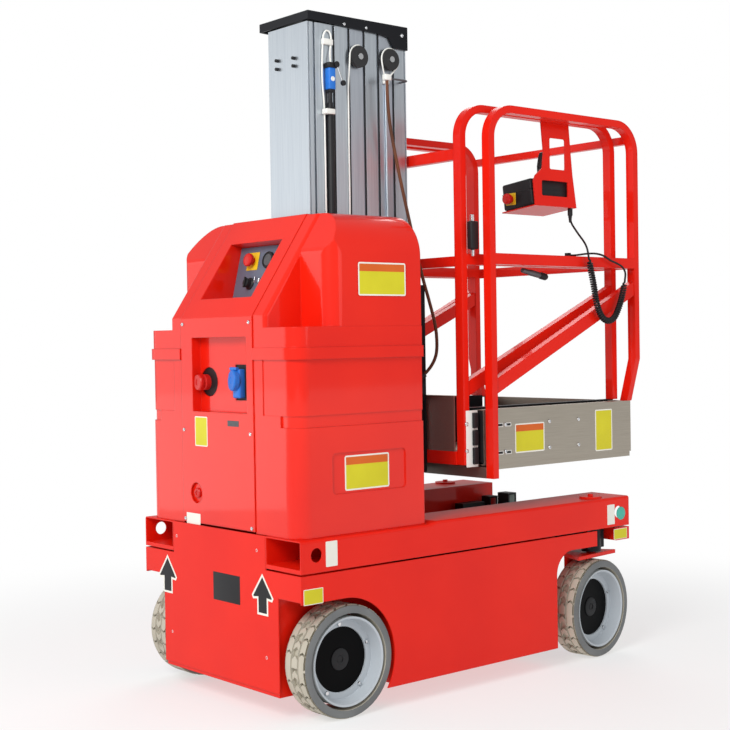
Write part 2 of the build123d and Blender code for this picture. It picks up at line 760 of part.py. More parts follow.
# Mast: six columns side by side, each with a tongue that slides in the groove of the one behind
column_count = len(mast_seams) - 1
for number in range(1, column_count + 1):
    rear = mast_seams[number - 1] + (mast_gap / 2 if number > 1 else 0)
    front = mast_seams[number] - (mast_gap / 2 if number < column_count else 0)
    top = mast_top_z if number < column_count else cap_top_z - cap_sheet
    groove_floor = front - mast_wall - tongue_head_depth - 2 * tongue_slide
    with BuildPart() as column:
        with BuildSketch(level(mast_bottom_z)):
            with Locations(((rear + front) / 2, mast_middle_y)):
                Rectangle(front - rear, 2 * mast_half_width)
            cavity_rear = (t_slot_x + t_slot_pocket / 2 if number == 1 else rear) + mast_wall
            rib = tongue_head + mast_wall
            cavity = mast_half_width - mast_wall - rib
            for y in (mast_middle_y - rib - cavity / 2, mast_middle_y + rib + cavity / 2):
                with Locations(((cavity_rear + front - mast_wall) / 2, y)):
                    Rectangle(front - mast_wall - cavity_rear, cavity, mode=Mode.SUBTRACT)
            core_front = groove_floor - mast_wall if number < column_count else front - mast_wall
            with Locations(((rear + mast_wall + core_front) / 2, mast_middle_y)):
                Rectangle(core_front - rear - mast_wall, 2 * tongue_head - mast_wall, mode=Mode.SUBTRACT)
            for y, inwards in zip(mast_y, (1, -1)):
                with Locations((front - edge_notch, y)):
                    Rectangle(edge_notch_width, 2 * edge_notch_width, mode=Mode.SUBTRACT)
                if number == 1:
                    with Locations((rear + edge_notch, y)):
                        Rectangle(edge_notch_width, 2 * edge_notch_width, mode=Mode.SUBTRACT)
                    with Locations((t_slot_x, y)):
                        Rectangle(t_slot_mouth, 2 * t_slot_depth, mode=Mode.SUBTRACT)
                    with Locations((t_slot_x, y + inwards * (t_slot_lip + t_slot_depth) / 2)):
                        Rectangle(t_slot_pocket, t_slot_depth - t_slot_lip, mode=Mode.SUBTRACT)
            if number < column_count:
                with Locations((front - mast_wall / 2, mast_middle_y)):
                    Rectangle(mast_wall, 2 * (tongue_neck + tongue_slide), mode=Mode.SUBTRACT)
                with Locations(((front - mast_wall + groove_floor) / 2, mast_middle_y)):
                    Rectangle(front - mast_wall - groove_floor, 2 * (tongue_head + tongue_slide),
                              mode=Mode.SUBTRACT)
            if number > 1:
                head_front = rear - mast_gap - mast_wall - tongue_slide
                with Locations(((head_front + rear) / 2, mast_middle_y)):
                    Rectangle(rear - head_front, 2 * tongue_neck)
                with Locations((head_front - tongue_head_depth / 2, mast_middle_y)):
                    Rectangle(tongue_head_depth, 2 * tongue_head)
        extrude(amount=top - mast_bottom_z)
        for column_number, x, drop in pulleys:
            if column_number == number:
                inner_y = mast_y[0] - pulley_gap
                outer_y = inner_y - pulley_width
                z = mast_top_z - drop
                rod((x, mast_y[0] + 1, z), (x, inner_y, z), bolt_radius)
                with BuildSketch(Plane(place(x, 0, z), x_dir=(1, 0, 0), z_dir=(0, 0, 1))):
                    with BuildLine():
                        Polyline((0, inner_y), (pulley_radius, inner_y),
                                 (pulley_radius, inner_y - pulley_rim),
                                 (pulley_radius - pulley_rim, inner_y - pulley_width / 2),
                                 (pulley_radius, outer_y + pulley_rim),
                                 (pulley_radius, outer_y), (0, outer_y),
                                 close=True)
                    make_face()
                revolve(axis=Axis(place(x, 0, z), (0, 1, 0)))
                rod((x, outer_y, z), (x, outer_y - bolt_head, z), bolt_radius)
    write(column.part, f"mast_column_{number}")

# Cap over all columns, carried by the front one
with BuildPart() as mast_cap:
    cap_rear, cap_front = mast_seams[0] - 2, mast_seams[-1] + cap_sheet
    block((cap_rear, cap_front), (-cap_half_width, cap_half_width), (cap_top_z - cap_sheet, cap_top_z))
    cap_skirt_z = cap_top_z - cap_skirt
    block((cap_rear, cap_rear + cap_sheet), (-cap_half_width, cap_half_width), (cap_skirt_z, cap_top_z))
    hook_x, flange_x, hook_z, flange_z = cap_hook[:2] + tuple(cap_top_z - drop for drop in cap_hook[2:])
    block((cap_front - cap_sheet, cap_front), (-cap_half_width, cap_half_width), (hook_z, cap_top_z))
    for y in (cap_half_width, -cap_half_width + cap_sheet):
        with BuildSketch(side_plane(y)):
            with BuildLine():
                Polyline((cap_rear, cap_top_z), (cap_rear, cap_skirt_z), (flange_x, flange_z),
                         (hook_x - 20, flange_z - 6), (hook_x, hook_z), (cap_front, hook_z),
                         (cap_front, cap_top_z), close=True)
            make_face()
        extrude(amount=cap_sheet)
write(mast_cap.part, "mast_cap")

# Limit switch and its conduit on the rear column's side
with BuildPart() as mast_switch:
    side = mast_y[0]
    switch_top, switch_bottom = (mast_top_z - drop for drop in switch_drop)
    block((switch_x - 18, switch_x + 19), (side - switch_depth, side), (switch_bottom, switch_top))
    rod((switch_x + 10, side - switch_depth / 2, switch_top),
        (switch_x + 10, side - switch_depth / 2, switch_top + 18), 7)
    conduit_y = side - conduit_radius - 0.3
    rod((switch_x, conduit_y, conduit_bottom_z), (switch_x, conduit_y, switch_bottom), conduit_radius)
    block((switch_x - 26, switch_x + 14), (side - conduit_radius * 2.5, side),
          sorted(mast_top_z - drop for drop in conduit_clip_drop))
write(mast_switch.part, "mast_switch")

# Carriage: joins the front column to the platform
with BuildPart() as carriage:
    column_front = mast_seams[-1]
    block((column_front, rear_beam_x[0]), (-carriage_half_width, carriage_half_width), (620, carriage_top_z))
    for low, high in ((-carriage_half_width, -carriage_half_width + 6),
                      (carriage_half_width - 6, carriage_half_width)):
        block((column_front - 36, column_front), (low, high), (840, carriage_top_z))
    block((rear_beam_x[0], rear_beam_x[1]), (-120, 120), (620, rear_beam_z[0]))
write(carriage.part, "carriage")


def guard_side(outer_y, tube, rear, front, bottom, top, foot, brace_z, low_kink):
    """Right-hand guard loop: a bent tube with a middle rail and a rising brace."""
    inner_y = outer_y - tube
    with BuildPart() as guard:
        with BuildSketch(side_plane(-inner_y)) as loop:
            with BuildLine():
                Polyline((rear, bottom), (rear, top), (front, top), (front, foot),
                         (front - tube_edge, foot), (front - tube_edge, top - tube_edge),
                         (rear + tube_edge, top - tube_edge), (rear + tube_edge, bottom), close=True)
            make_face()
            outer = loop.vertices().group_by(Axis.Y)[-1]
            fillet(outer, bend_radius)
            inner = [v for v in loop.vertices() if abs(v.Y - top + tube_edge) < 0.1]
            fillet(inner, bend_radius - tube_edge)
        extrude(amount=tube)
        block((rear + tube_edge, front - tube_edge), (-outer_y, -inner_y), mid_rail_z)
        with BuildSketch(side_plane(-(outer_y + inner_y - brace_thickness) / 2)):
            half = brace_size / 2 / cos(atan2(brace_z[1] - brace_z[0], front - rear))
            with BuildLine():
                Polyline((rear + tube_edge, brace_z[0] - half), (front - tube_edge, brace_z[1] - half),
                         (front - tube_edge, brace_z[1] + half), (rear + tube_edge, brace_z[0] + half),
                         close=True)
            make_face()
        extrude(amount=brace_thickness)
        if low_kink:
            with BuildSketch(level(low_kink)):
                with Locations((front - tube_edge / 2, -sum(toe_channel_y) / 2)):
                    Rectangle(tube_edge, tube)
            with BuildSketch(level(foot)):
                with Locations((front - tube_edge / 2, -(outer_y + inner_y) / 2)):
                    Rectangle(tube_edge, tube)
            loft()
    return guard


# Main guard: fixed side loops, rear rails and beam
main_side_right = guard_side(main_outer_y, main_tube, main_rear_x, main_front_x, main_bottom_z, main_top_z,
                             side_channel_z[1], main_brace_z, None)
write(main_side_right.part, "main_side_right")
write(mirrored(main_side_right).part, "main_side_left")

main_inner_y = main_outer_y - main_tube
with BuildPart() as main_rear_frame:
    post_x = (main_rear_x, main_rear_x + tube_edge)
    block(post_x, (-main_inner_y, main_inner_y), rear_top_bar_z)
    block(post_x, (-main_inner_y, main_inner_y), rear_mid_bar_z)
    block(rear_beam_x, (-main_inner_y, main_inner_y), rear_beam_z)
write(main_rear_frame.part, "main_rear_frame")

with BuildPart() as rear_toe_panel:
    panel_half_y = main_inner_y - 4
    block((rear_beam_x[0], rear_beam_x[0] + 4), (-panel_half_y, panel_half_y),
          (rear_beam_z[1], rear_panel_top_z))
    block((rear_beam_x[0] + 4, rear_beam_x[0] + 26), (-panel_half_y, panel_half_y),
          (rear_panel_top_z - 4, rear_panel_top_z))
write(rear_toe_panel.part, "rear_toe_panel")

with BuildPart() as platform_deck:
    deck_x = (rear_beam_x[1], main_front_x - 5)
    deck_half = side_channel_y[0] - pad_gap
    block(deck_x, (-deck_half, deck_half), (deck_z, deck_z + deck_plate))
    for y in (-deck_half, -2, deck_half - 4):
        block(deck_x, (y, y + 4), (deck_z - 7, deck_z))
write(platform_deck.part, "platform_deck")


def channel(x, y, z, opens, side):
    """A C-profile along X between two y and two z values, open outwards (1) or inwards (-1)."""
    low_y, high_y = y
    web = (low_y, low_y + channel_wall) if opens > 0 else (high_y - channel_wall, high_y)
    for span, heights in ((web, z), (y, (z[0], z[0] + channel_wall)), (y, (z[1] - channel_wall, z[1]))):
        block(x, sorted((side * span[0], side * span[1])), heights)


with BuildPart() as side_channels:
    for side in (-1, 1):
        channel((rear_beam_x[1], main_front_x - 5), side_channel_y, side_channel_z, 1, side)
write(side_channels.part, "side_channels")

toe_inner_face = toe_channel_y[1] - channel_wall
pad_top = toe_channel_z[1] - channel_wall - pad_gap
with BuildPart() as slide_pads:
    for side in (-1, 1):
        for x in main_pad_x:
            y = sorted((side * (side_channel_y[0] + channel_wall), side * (toe_inner_face - pad_gap)))
            block((x, x + pad_length), y, (side_channel_z[0] + channel_wall, pad_top))
write(slide_pads.part, "slide_pads")

# Extension: side loops, front rails, toe channels, deck and pads, all sliding forwards
ext_side_right = guard_side(ext_outer_y, ext_tube, ext_rear_x, ext_front_x, ext_bottom_z, ext_top_z,
                            kick_high_z, ext_brace_z, toe_channel_z[1])
write(ext_side_right.part, "extension_side_right")
write(mirrored(ext_side_right).part, "extension_side_left")

ext_inner_y = ext_outer_y - ext_tube
with BuildPart() as extension_front_rails:
    front_x = (ext_front_x - tube_edge, ext_front_x)
    block(front_x, (-ext_inner_y, ext_inner_y), front_top_bar_z)
    block(front_x, (-ext_inner_y, ext_inner_y), mid_rail_z)
write(extension_front_rails.part, "extension_front_rails")

with BuildPart() as toe_channels:
    for side in (-1, 1):
        channel((ext_rear_x, toe_channel_end_x), toe_channel_y, toe_channel_z, -1, side)
write(toe_channels.part, "toe_channels")

with BuildPart() as extension_pads:
    for side in (-1, 1):
        y = sorted((side * (side_channel_y[0] + channel_wall + pad_gap), side * toe_inner_face))
        block((ext_rear_x, ext_rear_x + pad_length), y,
              (side_channel_z[0] + channel_wall + pad_gap, toe_channel_z[1] - channel_wall))
write(extension_pads.part, "extension_pads")

with BuildPart() as extension_deck:
    deck_front = toe_channel_end_x - 2
    block((ext_rear_x, ext_rear_x + tube_edge), (-ext_inner_y, ext_inner_y), (ext_bottom_z, ext_beam_z))
    block((ext_rear_x + tube_edge, deck_front), (-toe_channel_y[0], toe_channel_y[0]),
          (ext_plate_z, ext_plate_z + deck_plate))
    for side in (-1, 1):
        y = sorted((side * toe_channel_y[0], side * (toe_channel_y[1] - 4)))
        block((ext_rear_x + tube_edge, deck_front), y, (ext_plate_z, toe_channel_z[0]))
write(extension_deck.part, "extension_deck")

with BuildPart() as front_toe_board:
    board_half = toe_channel_y[0] - 0.5
    block((deck_front - 4, deck_front), (-board_half, board_half),
          (ext_plate_z + deck_plate, toe_channel_z[1]))
write(front_toe_board.part, "front_toe_board")

# Control box on its hanger under the main guard's top tube
tube_bottom_z = main_top_z - tube_edge
tray_bottom_z = box_bottom_z - hanger_sheet
with BuildPart() as control_hanger:
    with BuildSketch(side_plane(-hanger_y)) as plate:
        with BuildLine():
            outline = [(x, tube_bottom_z if rise is None else box_bottom_z + rise)
                       for x, rise in hanger_outline]
            Polyline((hanger_right_x, tray_bottom_z), *outline, close=True)
        make_face()
        bends = [v for v in plate.vertices() if tray_bottom_z + 1 < v.Y < tube_bottom_z - 1]
        fillet(bends, hanger_corner)
        for x, rise, width, height in hanger_windows:
            with Locations((x, box_bottom_z + rise)):
                RectangleRounded(width, height, hanger_corner / 2, mode=Mode.SUBTRACT)
    extrude(amount=hanger_sheet)
    with BuildSketch(cross_plane(outline[-1][0])):
        with BuildLine():
            inner_drop = (hanger_y - tray_inner_y) * tan(radians(box_tilt))
            Polyline((-hanger_y, tray_bottom_z), (-hanger_y, box_bottom_z),
                     (-tray_inner_y, box_bottom_z - inner_drop), (-tray_inner_y, tray_bottom_z - inner_drop),
                     close=True)
        make_face()
    extrude(amount=hanger_right_x - outline[-1][0])
write(control_hanger.part, "control_hanger")

with BuildPart() as control_box:
    with BuildSketch(cross_plane(box_x[0])):
        with BuildLine():
            outer_low, inner_low = (box_bottom_z - (hanger_y - y) * tan(radians(box_tilt))
                                    for y in (box_y[1], box_y[0]))
            Polyline((-box_y[1], outer_low), (-box_y[1], outer_low + box_height[1]),
                     (-box_y[0], inner_low + box_height[0]), (-box_y[0], inner_low), close=True)
        make_face()
    extrude(amount=box_x[1] - box_x[0])
    fillet(control_box.edges().filter_by(Axis.Z), box_corner)
    y, rise, head_radius, stem_radius = stop_button
    stop_z = box_bottom_z + rise
    rod((box_x[0], -y, stop_z), (box_x[0] - 10, -y, stop_z), stem_radius)
    rod((box_x[0] - 10, -y, stop_z), (box_x[0] - 28, -y, stop_z), head_radius)
    lever_foot_z = inner_low + box_height[0]
    rod((lever_x[0], -lever_y, lever_foot_z), (lever_x[1], -lever_y, box_bottom_z + lever_top), lever_radius)
write(control_box.part, "control_box")

with BuildPart() as cord_gland:
    x, y, z = lead_route[0]
    tray_drop = (hanger_y + y + gland_radius) * tan(radians(box_tilt))
    rod((x, y, z), (x, y, tray_bottom_z - tray_drop), gland_radius)
write(cord_gland.part, "cord_gland")

with BuildPart() as cord_clip:
    x, y, z = tail_route[-1]
    block((x - clip_width, x), (y - 8, y + 8), (mid_rail_z[1], z + 7))
write(cord_clip.part, "cord_clip")

# The clip's arm passes outside the pulley and is fixed to the front column's side
with BuildPart() as hose_clip:
    x, y, z = hose_route[0]
    arm_y = (y + 8, y + 12)
    leg_x = (mast_seams[-2] + 14, mast_seams[-2] + 26)
    block((x - 11, x + 11), (y - 9, arm_y[0]), (z, z + clip_height))
    block((x - 11, leg_x[1]), arm_y, (z, z + clip_height))
    block(leg_x, (arm_y[1], mast_y[0]), (z, z + clip_height))
write(hose_clip.part, "hose_clip")

with BuildPart() as hose_gland:
    before, hose_end = place(*hose_route[-2]), place(*hose_route[-1])
    with BuildSketch(Plane(hose_end, z_dir=(hose_end - before))) as gland:
        Circle(2 * hose_radius)
    extrude(gland.sketch, amount=hose_gland_length)
    block((-200, 200), (-carriage_half_width, 0), (800, 1000), mode=Mode.SUBTRACT)
write(hose_gland.part, "hose_gland")


def tube(route, radius, name):
    """A cord's plain tube: straight runs joined by arcs as large as their runs allow."""
    points = [place(*point) for point in route]
    radii = []
    for before, corner, after in zip(points, points[1:], points[2:]):
        run = min((corner - before).length, (after - corner).length)
        turn = radians((corner - before).get_angle(after - corner))
        radii.append(0.45 * run / tan(turn / 2))
    print(name, "radii", [round(r) for r in radii])
    with BuildPart() as cord:
        with BuildLine() as path:
            FilletPolyline(*points, radius=radii)
        with BuildSketch(Plane(points[0], z_dir=(points[1] - points[0]))):
            Circle(radius)
        sweep(path=path.line)
    length = path.wire().length
    print(name, "length", round(length), "volume ratio",
          round(cord.part.volume / (length * pi * radius**2), 4))
    write(cord.part, name)


tube(lead_route, lead_radius, "cord_lead")
tube(coil_route, coil_radius, "cord_coil")
tube(tail_route, lead_radius, "cord_tail")
tube(hose_route, hose_radius, "mast_hose")
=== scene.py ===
from math import atan2, cos, pi, radians, sin, sqrt, tan

import bpy
from mathutils import Matrix, Vector


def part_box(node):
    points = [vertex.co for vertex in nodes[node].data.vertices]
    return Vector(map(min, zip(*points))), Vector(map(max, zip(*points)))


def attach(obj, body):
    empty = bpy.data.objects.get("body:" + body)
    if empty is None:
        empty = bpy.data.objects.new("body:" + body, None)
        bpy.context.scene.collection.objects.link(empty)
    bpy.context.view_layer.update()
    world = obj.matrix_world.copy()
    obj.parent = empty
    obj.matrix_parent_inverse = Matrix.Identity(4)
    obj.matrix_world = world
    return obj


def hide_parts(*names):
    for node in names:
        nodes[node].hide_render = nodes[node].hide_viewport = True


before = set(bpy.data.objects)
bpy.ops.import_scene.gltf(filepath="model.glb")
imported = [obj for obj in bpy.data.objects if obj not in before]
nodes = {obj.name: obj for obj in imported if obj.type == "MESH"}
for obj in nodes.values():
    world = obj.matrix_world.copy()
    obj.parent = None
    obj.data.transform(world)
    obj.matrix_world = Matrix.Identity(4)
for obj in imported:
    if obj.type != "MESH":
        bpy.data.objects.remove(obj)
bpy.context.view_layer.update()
print("frame loaded,", len(nodes), "nodes")

# Places are written in millimetres from the middle of the chassis, as on the CAD drawing
chassisMiddleX = -33.5
mm = 0.001


def at(x, y, z):
    return Vector(((x + chassisMiddleX) * mm, y * mm, z * mm))


# Camera, at the photograph's place

cameraSettings = {
    "place": at(-2865.7, -3244.9, 1027.7),
    "heading": 49.7057,  # degrees from +X towards +Y
    "pitch": -1.0694,
    "roll": 0.9089,
    "focalPixels": 1372.64,
    "imagePixels": 730,
    "sensor": 36,
    "clipEnd": 60,
}


def addCamera(settings):
    heading, pitch, roll = (radians(settings[k]) for k in ("heading", "pitch", "roll"))
    ahead = Vector((cos(heading) * cos(pitch), sin(heading) * cos(pitch), sin(pitch)))
    right = Vector((sin(heading), -cos(heading), 0))
    up = right.cross(ahead)
    rolledRight = right * cos(roll) - up * sin(roll)
    rolledUp = right * sin(roll) + up * cos(roll)
    data = bpy.data.cameras.new("photoCamera")
    data.sensor_width = settings["sensor"]
    data.lens = settings["focalPixels"] / settings["imagePixels"] * settings["sensor"]
    data.clip_end = settings["clipEnd"]
    camera = bpy.data.objects.new("photoCamera", data)
    bpy.context.scene.collection.objects.link(camera)
    turn = Matrix((rolledRight, rolledUp, -ahead)).transposed().to_4x4()
    camera.matrix_world = Matrix.Translation(settings["place"]) @ turn
    bpy.context.scene.camera = camera


addCamera(cameraSettings)
bpy.context.scene.view_settings.view_transform = "Standard"
print("camera set")


# Materials. One function adds a node with its settings and links


def hexColor(text):
    channels = [int(text[i:i + 2], 16) / 255 for i in (1, 3, 5)]
    linear = [c / 12.92 if c <= 0.04045 else ((c + 0.055) / 1.055) ** 2.4 for c in channels]
    return (*linear, 1)


def addNode(tree, kind, settings=None, **sockets):
    node = tree.nodes.new("ShaderNode" + kind)
    for key, value in (settings or {}).items():
        setattr(node, key, value)
    for key, value in sockets.items():
        socket = node.inputs[int(key[1:])] if key[1:].isdigit() else node.inputs[key.replace("_", " ")]
        if isinstance(value, bpy.types.NodeSocket):
            tree.links.new(value, socket)
        else:
            socket.default_value = value
    return node


def startMaterial(name, **sockets):
    material = bpy.data.materials.new(name)
    material.use_nodes = True
    tree = material.node_tree
    shader = tree.nodes["Principled BSDF"]
    for key, value in sockets.items():
        shader.inputs[key.replace("_", " ")].default_value = value
    return material, tree, shader


def addRamp(tree, factor, stops):
    ramp = addNode(tree, "ValToRGB", None, Fac=factor)
    while len(ramp.color_ramp.elements) < len(stops):
        ramp.color_ramp.elements.new(0.5)
    for element, (place, color) in zip(ramp.color_ramp.elements, stops):
        element.position = place
        element.color = hexColor(color)
    return ramp.outputs[0]


def objectNoise(tree, scale, stretch=(1, 1, 1), detail=2, roughness=0.5):
    coords = addNode(tree, "TexCoord").outputs["Object"]
    mapping = addNode(tree, "Mapping", None, Vector=coords, Scale=stretch)
    return addNode(tree, "TexNoise", None, Vector=mapping.outputs[0], Scale=scale, Detail=detail,
                   Roughness=roughness).outputs["Fac"]


def addBump(tree, shader, height, distance, strength=1, edge=0):
    # edge is the radius, in metres, of the small rounding that every cut or folded edge has
    bump = addNode(tree, "Bump", None, Height=height, Distance=distance, Strength=strength)
    if edge:
        rounding = addNode(tree, "Bevel", {"samples": 6}, Radius=edge)
        tree.links.new(rounding.outputs[0], bump.inputs["Normal"])
    tree.links.new(bump.outputs[0], shader.inputs["Normal"])


def makePaint(name, color, deep, roughness, coat, edge):
    # Sprayed enamel: a soft orange peel of about 4 mm and a slow change of tone
    material, tree, shader = startMaterial(name, Roughness=roughness, Coat_Weight=coat, Coat_Roughness=0.05,
                                           Specular_IOR_Level=0.1)
    tone = objectNoise(tree, scale=3.2, detail=3)
    tree.links.new(addRamp(tree, tone, ((0.3, deep), (0.7, color))), shader.inputs["Base Color"])
    addBump(tree, shader, objectNoise(tree, scale=240), distance=0.00012, strength=0.5, edge=edge)
    return material


def makeMoulding(name, color, deep, roughness, edge=0.0008, grain=900, depth=0.00004):
    # Injection-moulded plastic: fine even grain with a slow change of tone
    material, tree, shader = startMaterial(name, Roughness=roughness, Specular_IOR_Level=0.3)
    tone = objectNoise(tree, scale=9, detail=4)
    tree.links.new(addRamp(tree, tone, ((0.3, deep), (0.75, color))), shader.inputs["Base Color"])
    addBump(tree, shader, objectNoise(tree, grain), depth, strength=0.6, edge=edge)
    return material


def addStreaks(tree, scale, stretch):
    # the streaks run along the axis that stretch makes short
    return objectNoise(tree, scale, stretch, detail=5, roughness=0.6)


def makeMetal(name, color, deep, roughness, stretch, scale, edge=0.0005):
    # Drawn, brushed or rolled metal, with streaks in its colour, its roughness and its relief
    material, tree, shader = startMaterial(name, Metallic=1)
    streaks = addStreaks(tree, scale, stretch)
    tree.links.new(addRamp(tree, streaks, ((0.25, deep), (0.75, color))), shader.inputs["Base Color"])
    low, high = roughness
    spread = addNode(tree, "MapRange", None, Value=streaks, From_Min=0.2, From_Max=0.8, To_Min=low,
                     To_Max=high)
    tree.links.new(spread.outputs[0], shader.inputs["Roughness"])
    addBump(tree, shader, streaks, distance=0.00003, strength=0.6, edge=edge)
    return material


# Stove enamel of the chassis and the guards, gelcoat of the moulded covers, enamel of the black steelwork
glossEnamel = makePaint("glossEnamel", "#E8200C", "#DE190A", 0.4, 0.25, 0.004)
hoodGelcoat = makePaint("hoodGelcoat", "#E8220C", "#DE1B0A", 0.3, 0.6, 0.006)
blackEnamel = makePaint("blackEnamel", "#1B1C20", "#141519", 0.42, 0.1, 0.001)
# Moulded fittings
blackMoulding = makeMoulding("blackMoulding", "#202022", "#17171A", 0.5)
blueMoulding = makeMoulding("blueMoulding", "#2B79D6", "#226BC6", 0.34)
redMoulding = makeMoulding("redMoulding", "#D4221C", "#C01A16", 0.3)
whiteMoulding = makeMoulding("whiteMoulding", "#EDEDE8", "#E2E2DC", 0.42)
safetyYellow = makeMoulding("safetyYellow", "#E8C21F", "#DDB61A", 0.4)
lampGlass = makeMoulding("lampGlass", "#8C9A93", "#76857E", 0.12)
tealGlass = makeMoulding("tealGlass", "#4FB9A6", "#43A896", 0.25)
# Solid non-marking rubber, beige on the tread; the darker grey of its sides is painted shade
greyTyreRubber = makeMoulding("greyTyreRubber", "#C4BEAE", "#B2AC9D", 0.85, 0.002, 420, 0.0002)
greyTyreShadedSide = makeMoulding("greyTyreShadedSide", "#7E8080", "#6C6E6F", 0.75, 0.001, 420, 0.0002)
# Blue-grey coated plate, cable sheath and hose rubber
dashPlate = makeMoulding("dashPlate", "#667081", "#596273", 0.4)
cordSheath = makeMoulding("cordSheath", "#1B1B1D", "#131315", 0.45)
brownHose = makeMoulding("brownHose", "#6E4128", "#54301E", 0.5)
# Printed film of the signs
signWhite = makeMoulding("signWhite", "#EFEDE4", "#E6E3D8", 0.4, 0.0003)
signYellow = makeMoulding("signYellow", "#D8CF22", "#CCC21C", 0.4, 0.0003)
signOrange = makeMoulding("signOrange", "#D9661C", "#CE5B16", 0.4, 0.0003)
# Drawn mast columns, rolled deck sheet, brushed plate, grey castings and chromed bolts
anodisedMast = makeMetal("anodisedMast", "#C9D0D6", "#B3BBC3", (0.3, 0.42), (60, 60, 1), 5)
rolledAluminium = makeMetal("rolledAluminium", "#B9B1A4", "#A49C90", (0.38, 0.52), (1, 60, 60), 8)
brushedPlate = makeMetal("brushedPlate", "#C9CBCD", "#B4B6B8", (0.28, 0.4), (60, 1, 60), 10)
darkCasting = makeMetal("darkCasting", "#7C7D80", "#5E5F62", (0.5, 0.65), (1, 1, 1), 160)
chromePlate = makeMetal("chromePlate", "#E4E6E8", "#D6D8DA", (0.12, 0.2), (1, 1, 1), 60)


def coordinate(tree, axis):
    coords = addNode(tree, "TexCoord").outputs["Object"]
    return addNode(tree, "SeparateXYZ", None, Vector=coords).outputs[axis]


def addStep(tree, value, edge, below, above):
    # one colour below the edge and the other above it; each is a colour or another node's output
    passed = addNode(tree, "Math", {"operation": "GREATER_THAN"}, _0=value, _1=edge).outputs[0]
    return addNode(tree, "Mix", {"data_type": "RGBA"}, _0=passed, _6=below, _7=above).outputs[2]


def addLevels(tree, value, levels, edges):
    total = levels[0]
    for low, high, edge in zip(levels, levels[1:], edges):
        passed = addNode(tree, "Math", {"operation": "GREATER_THAN"}, _0=value, _1=edge).outputs[0]
        total = addNode(tree, "Math", {"operation": "MULTIPLY_ADD"}, _0=passed, _1=high - low,
                        _2=total).outputs[0]
    return total


def makePulleyColumn(name, edges):
    # Anodised extrusion that also carries a black nylon pulley and its chromed bolt on its right-hand side
    material, tree, shader = startMaterial(name)
    streaks = addStreaks(tree, scale=5, stretch=(60, 60, 1))
    y = coordinate(tree, "Y")
    body = addRamp(tree, streaks, ((0.25, "#A9B0BA"), (0.75, "#BFC5CC")))
    black = addStep(tree, y, edges[0], below=hexColor("#DDDFE1"), above=hexColor("#1B1B1D"))
    tree.links.new(addStep(tree, y, edges[1], below=black, above=body), shader.inputs["Base Color"])
    tree.links.new(addLevels(tree, y, (1, 0, 1), edges), shader.inputs["Metallic"])
    tree.links.new(addLevels(tree, y, (0.15, 0.45, 0.4), edges), shader.inputs["Roughness"])
    addBump(tree, shader, streaks, distance=0.00003, strength=0.6, edge=0.0005)
    return material


def makeWheelEnamel(name, centre, axle, dishRadius):
    # Silver enamel of the rim, and near black inside its pressed dish
    material, tree, shader = startMaterial(name, Roughness=0.42, Specular_IOR_Level=0.06)
    coords = addNode(tree, "TexCoord").outputs["Object"]
    fromCentre = addNode(tree, "VectorMath", {"operation": "SUBTRACT"}, _0=coords, _1=centre).outputs[0]
    across = addNode(tree, "VectorMath", {"operation": "CROSS_PRODUCT"}, _0=fromCentre, _1=axle).outputs[0]
    distance = addNode(tree, "VectorMath", {"operation": "LENGTH"}, _0=across).outputs["Value"]
    enamel = addStep(tree, distance, dishRadius, below=hexColor("#060607"), above=hexColor("#B9C0C6"))
    tree.links.new(enamel, shader.inputs["Base Color"])
    addBump(tree, shader, objectNoise(tree, scale=300), distance=0.00012, strength=0.5, edge=0.001)
    return material


# Y in metres: the bolt's head ends at the first edge, and the pulley at the second
pulleyColumn = makePulleyColumn("anodisedMastWithPulley", (-0.12925, -0.1165))

# The nodes that pieces replace further down have a material too
finishes = {
    glossEnamel: ("rail_right", "rail_left", "chassis_shell", "chassis_tub", "front_crossmember",
                  "main_side_right", "main_side_left", "main_rear_frame", "extension_side_right",
                  "extension_side_left", "extension_front_rails", "control_hanger", "knuckle_right",
                  "knuckle_left"),
    hoodGelcoat: ("cover_right", "cover_left", "service_panel"),
    blackEnamel: ("deck_tray", "steer_beam", "power_pack", "mast_cap", "carriage", "side_channels"),
    blackMoulding: ("battery_block", "slide_pads", "extension_pads", "control_box", "cord_gland", "cord_clip",
                    "hose_gland", "deck_lamps", "sockets", "mast_switch", "hose_clip"),
    darkCasting: ("drive_motors",),
    anodisedMast: ("mast_column_1", "mast_column_2", "mast_column_4", "mast_column_6"),
    pulleyColumn: ("mast_column_3", "mast_column_5"),
    rolledAluminium: ("platform_deck", "rear_toe_panel", "toe_channels", "extension_deck", "front_toe_board"),
    brushedPlate: ("control_panel",),
    greyTyreRubber: ("tyre_front_right", "tyre_front_left", "tyre_rear_right", "tyre_rear_left"),
    cordSheath: ("cord_lead", "cord_coil", "cord_tail"),
    brownHose: ("mast_hose",),
}


def paintWith(piece, material):
    piece.data.materials.clear()
    piece.data.materials.append(material)


for material, names in finishes.items():
    for name in names:
        paintWith(nodes[name], material)
print("materials on all nodes")


# How a piece is started, placed and finished

smoothAngle = 32
mergeDistance = 0.00002
# takes a piece that is modelled in place, in millimetres from the middle of the chassis
chassisShift = Matrix.Translation((chassisMiddleX * mm, 0, 0))


def startPrimitive(add, scale=(1, 1, 1), **settings):
    bpy.ops.object.select_all(action="DESELECT")
    add(**settings)
    bpy.context.object.scale = scale
    bpy.ops.object.transform_apply()
    return bpy.context.object


def facing(place, outwards, up=(0, 0, 1)):
    # turns a piece that is modelled facing +Z so that it faces outwards at its place
    z = Vector(outwards).normalized()
    x = Vector(up).cross(z).normalized()
    turn = Matrix((x, z.cross(x), z)).transposed().to_4x4()
    return Matrix.Translation(place) @ turn


def toRear(place):
    return facing(at(*place), (-1, 0, 0))


def toRight(place):
    return facing(at(*place), (0, -1, 0))


def upright(place):
    return facing(at(*place), (0, 0, 1), (0, 1, 0))


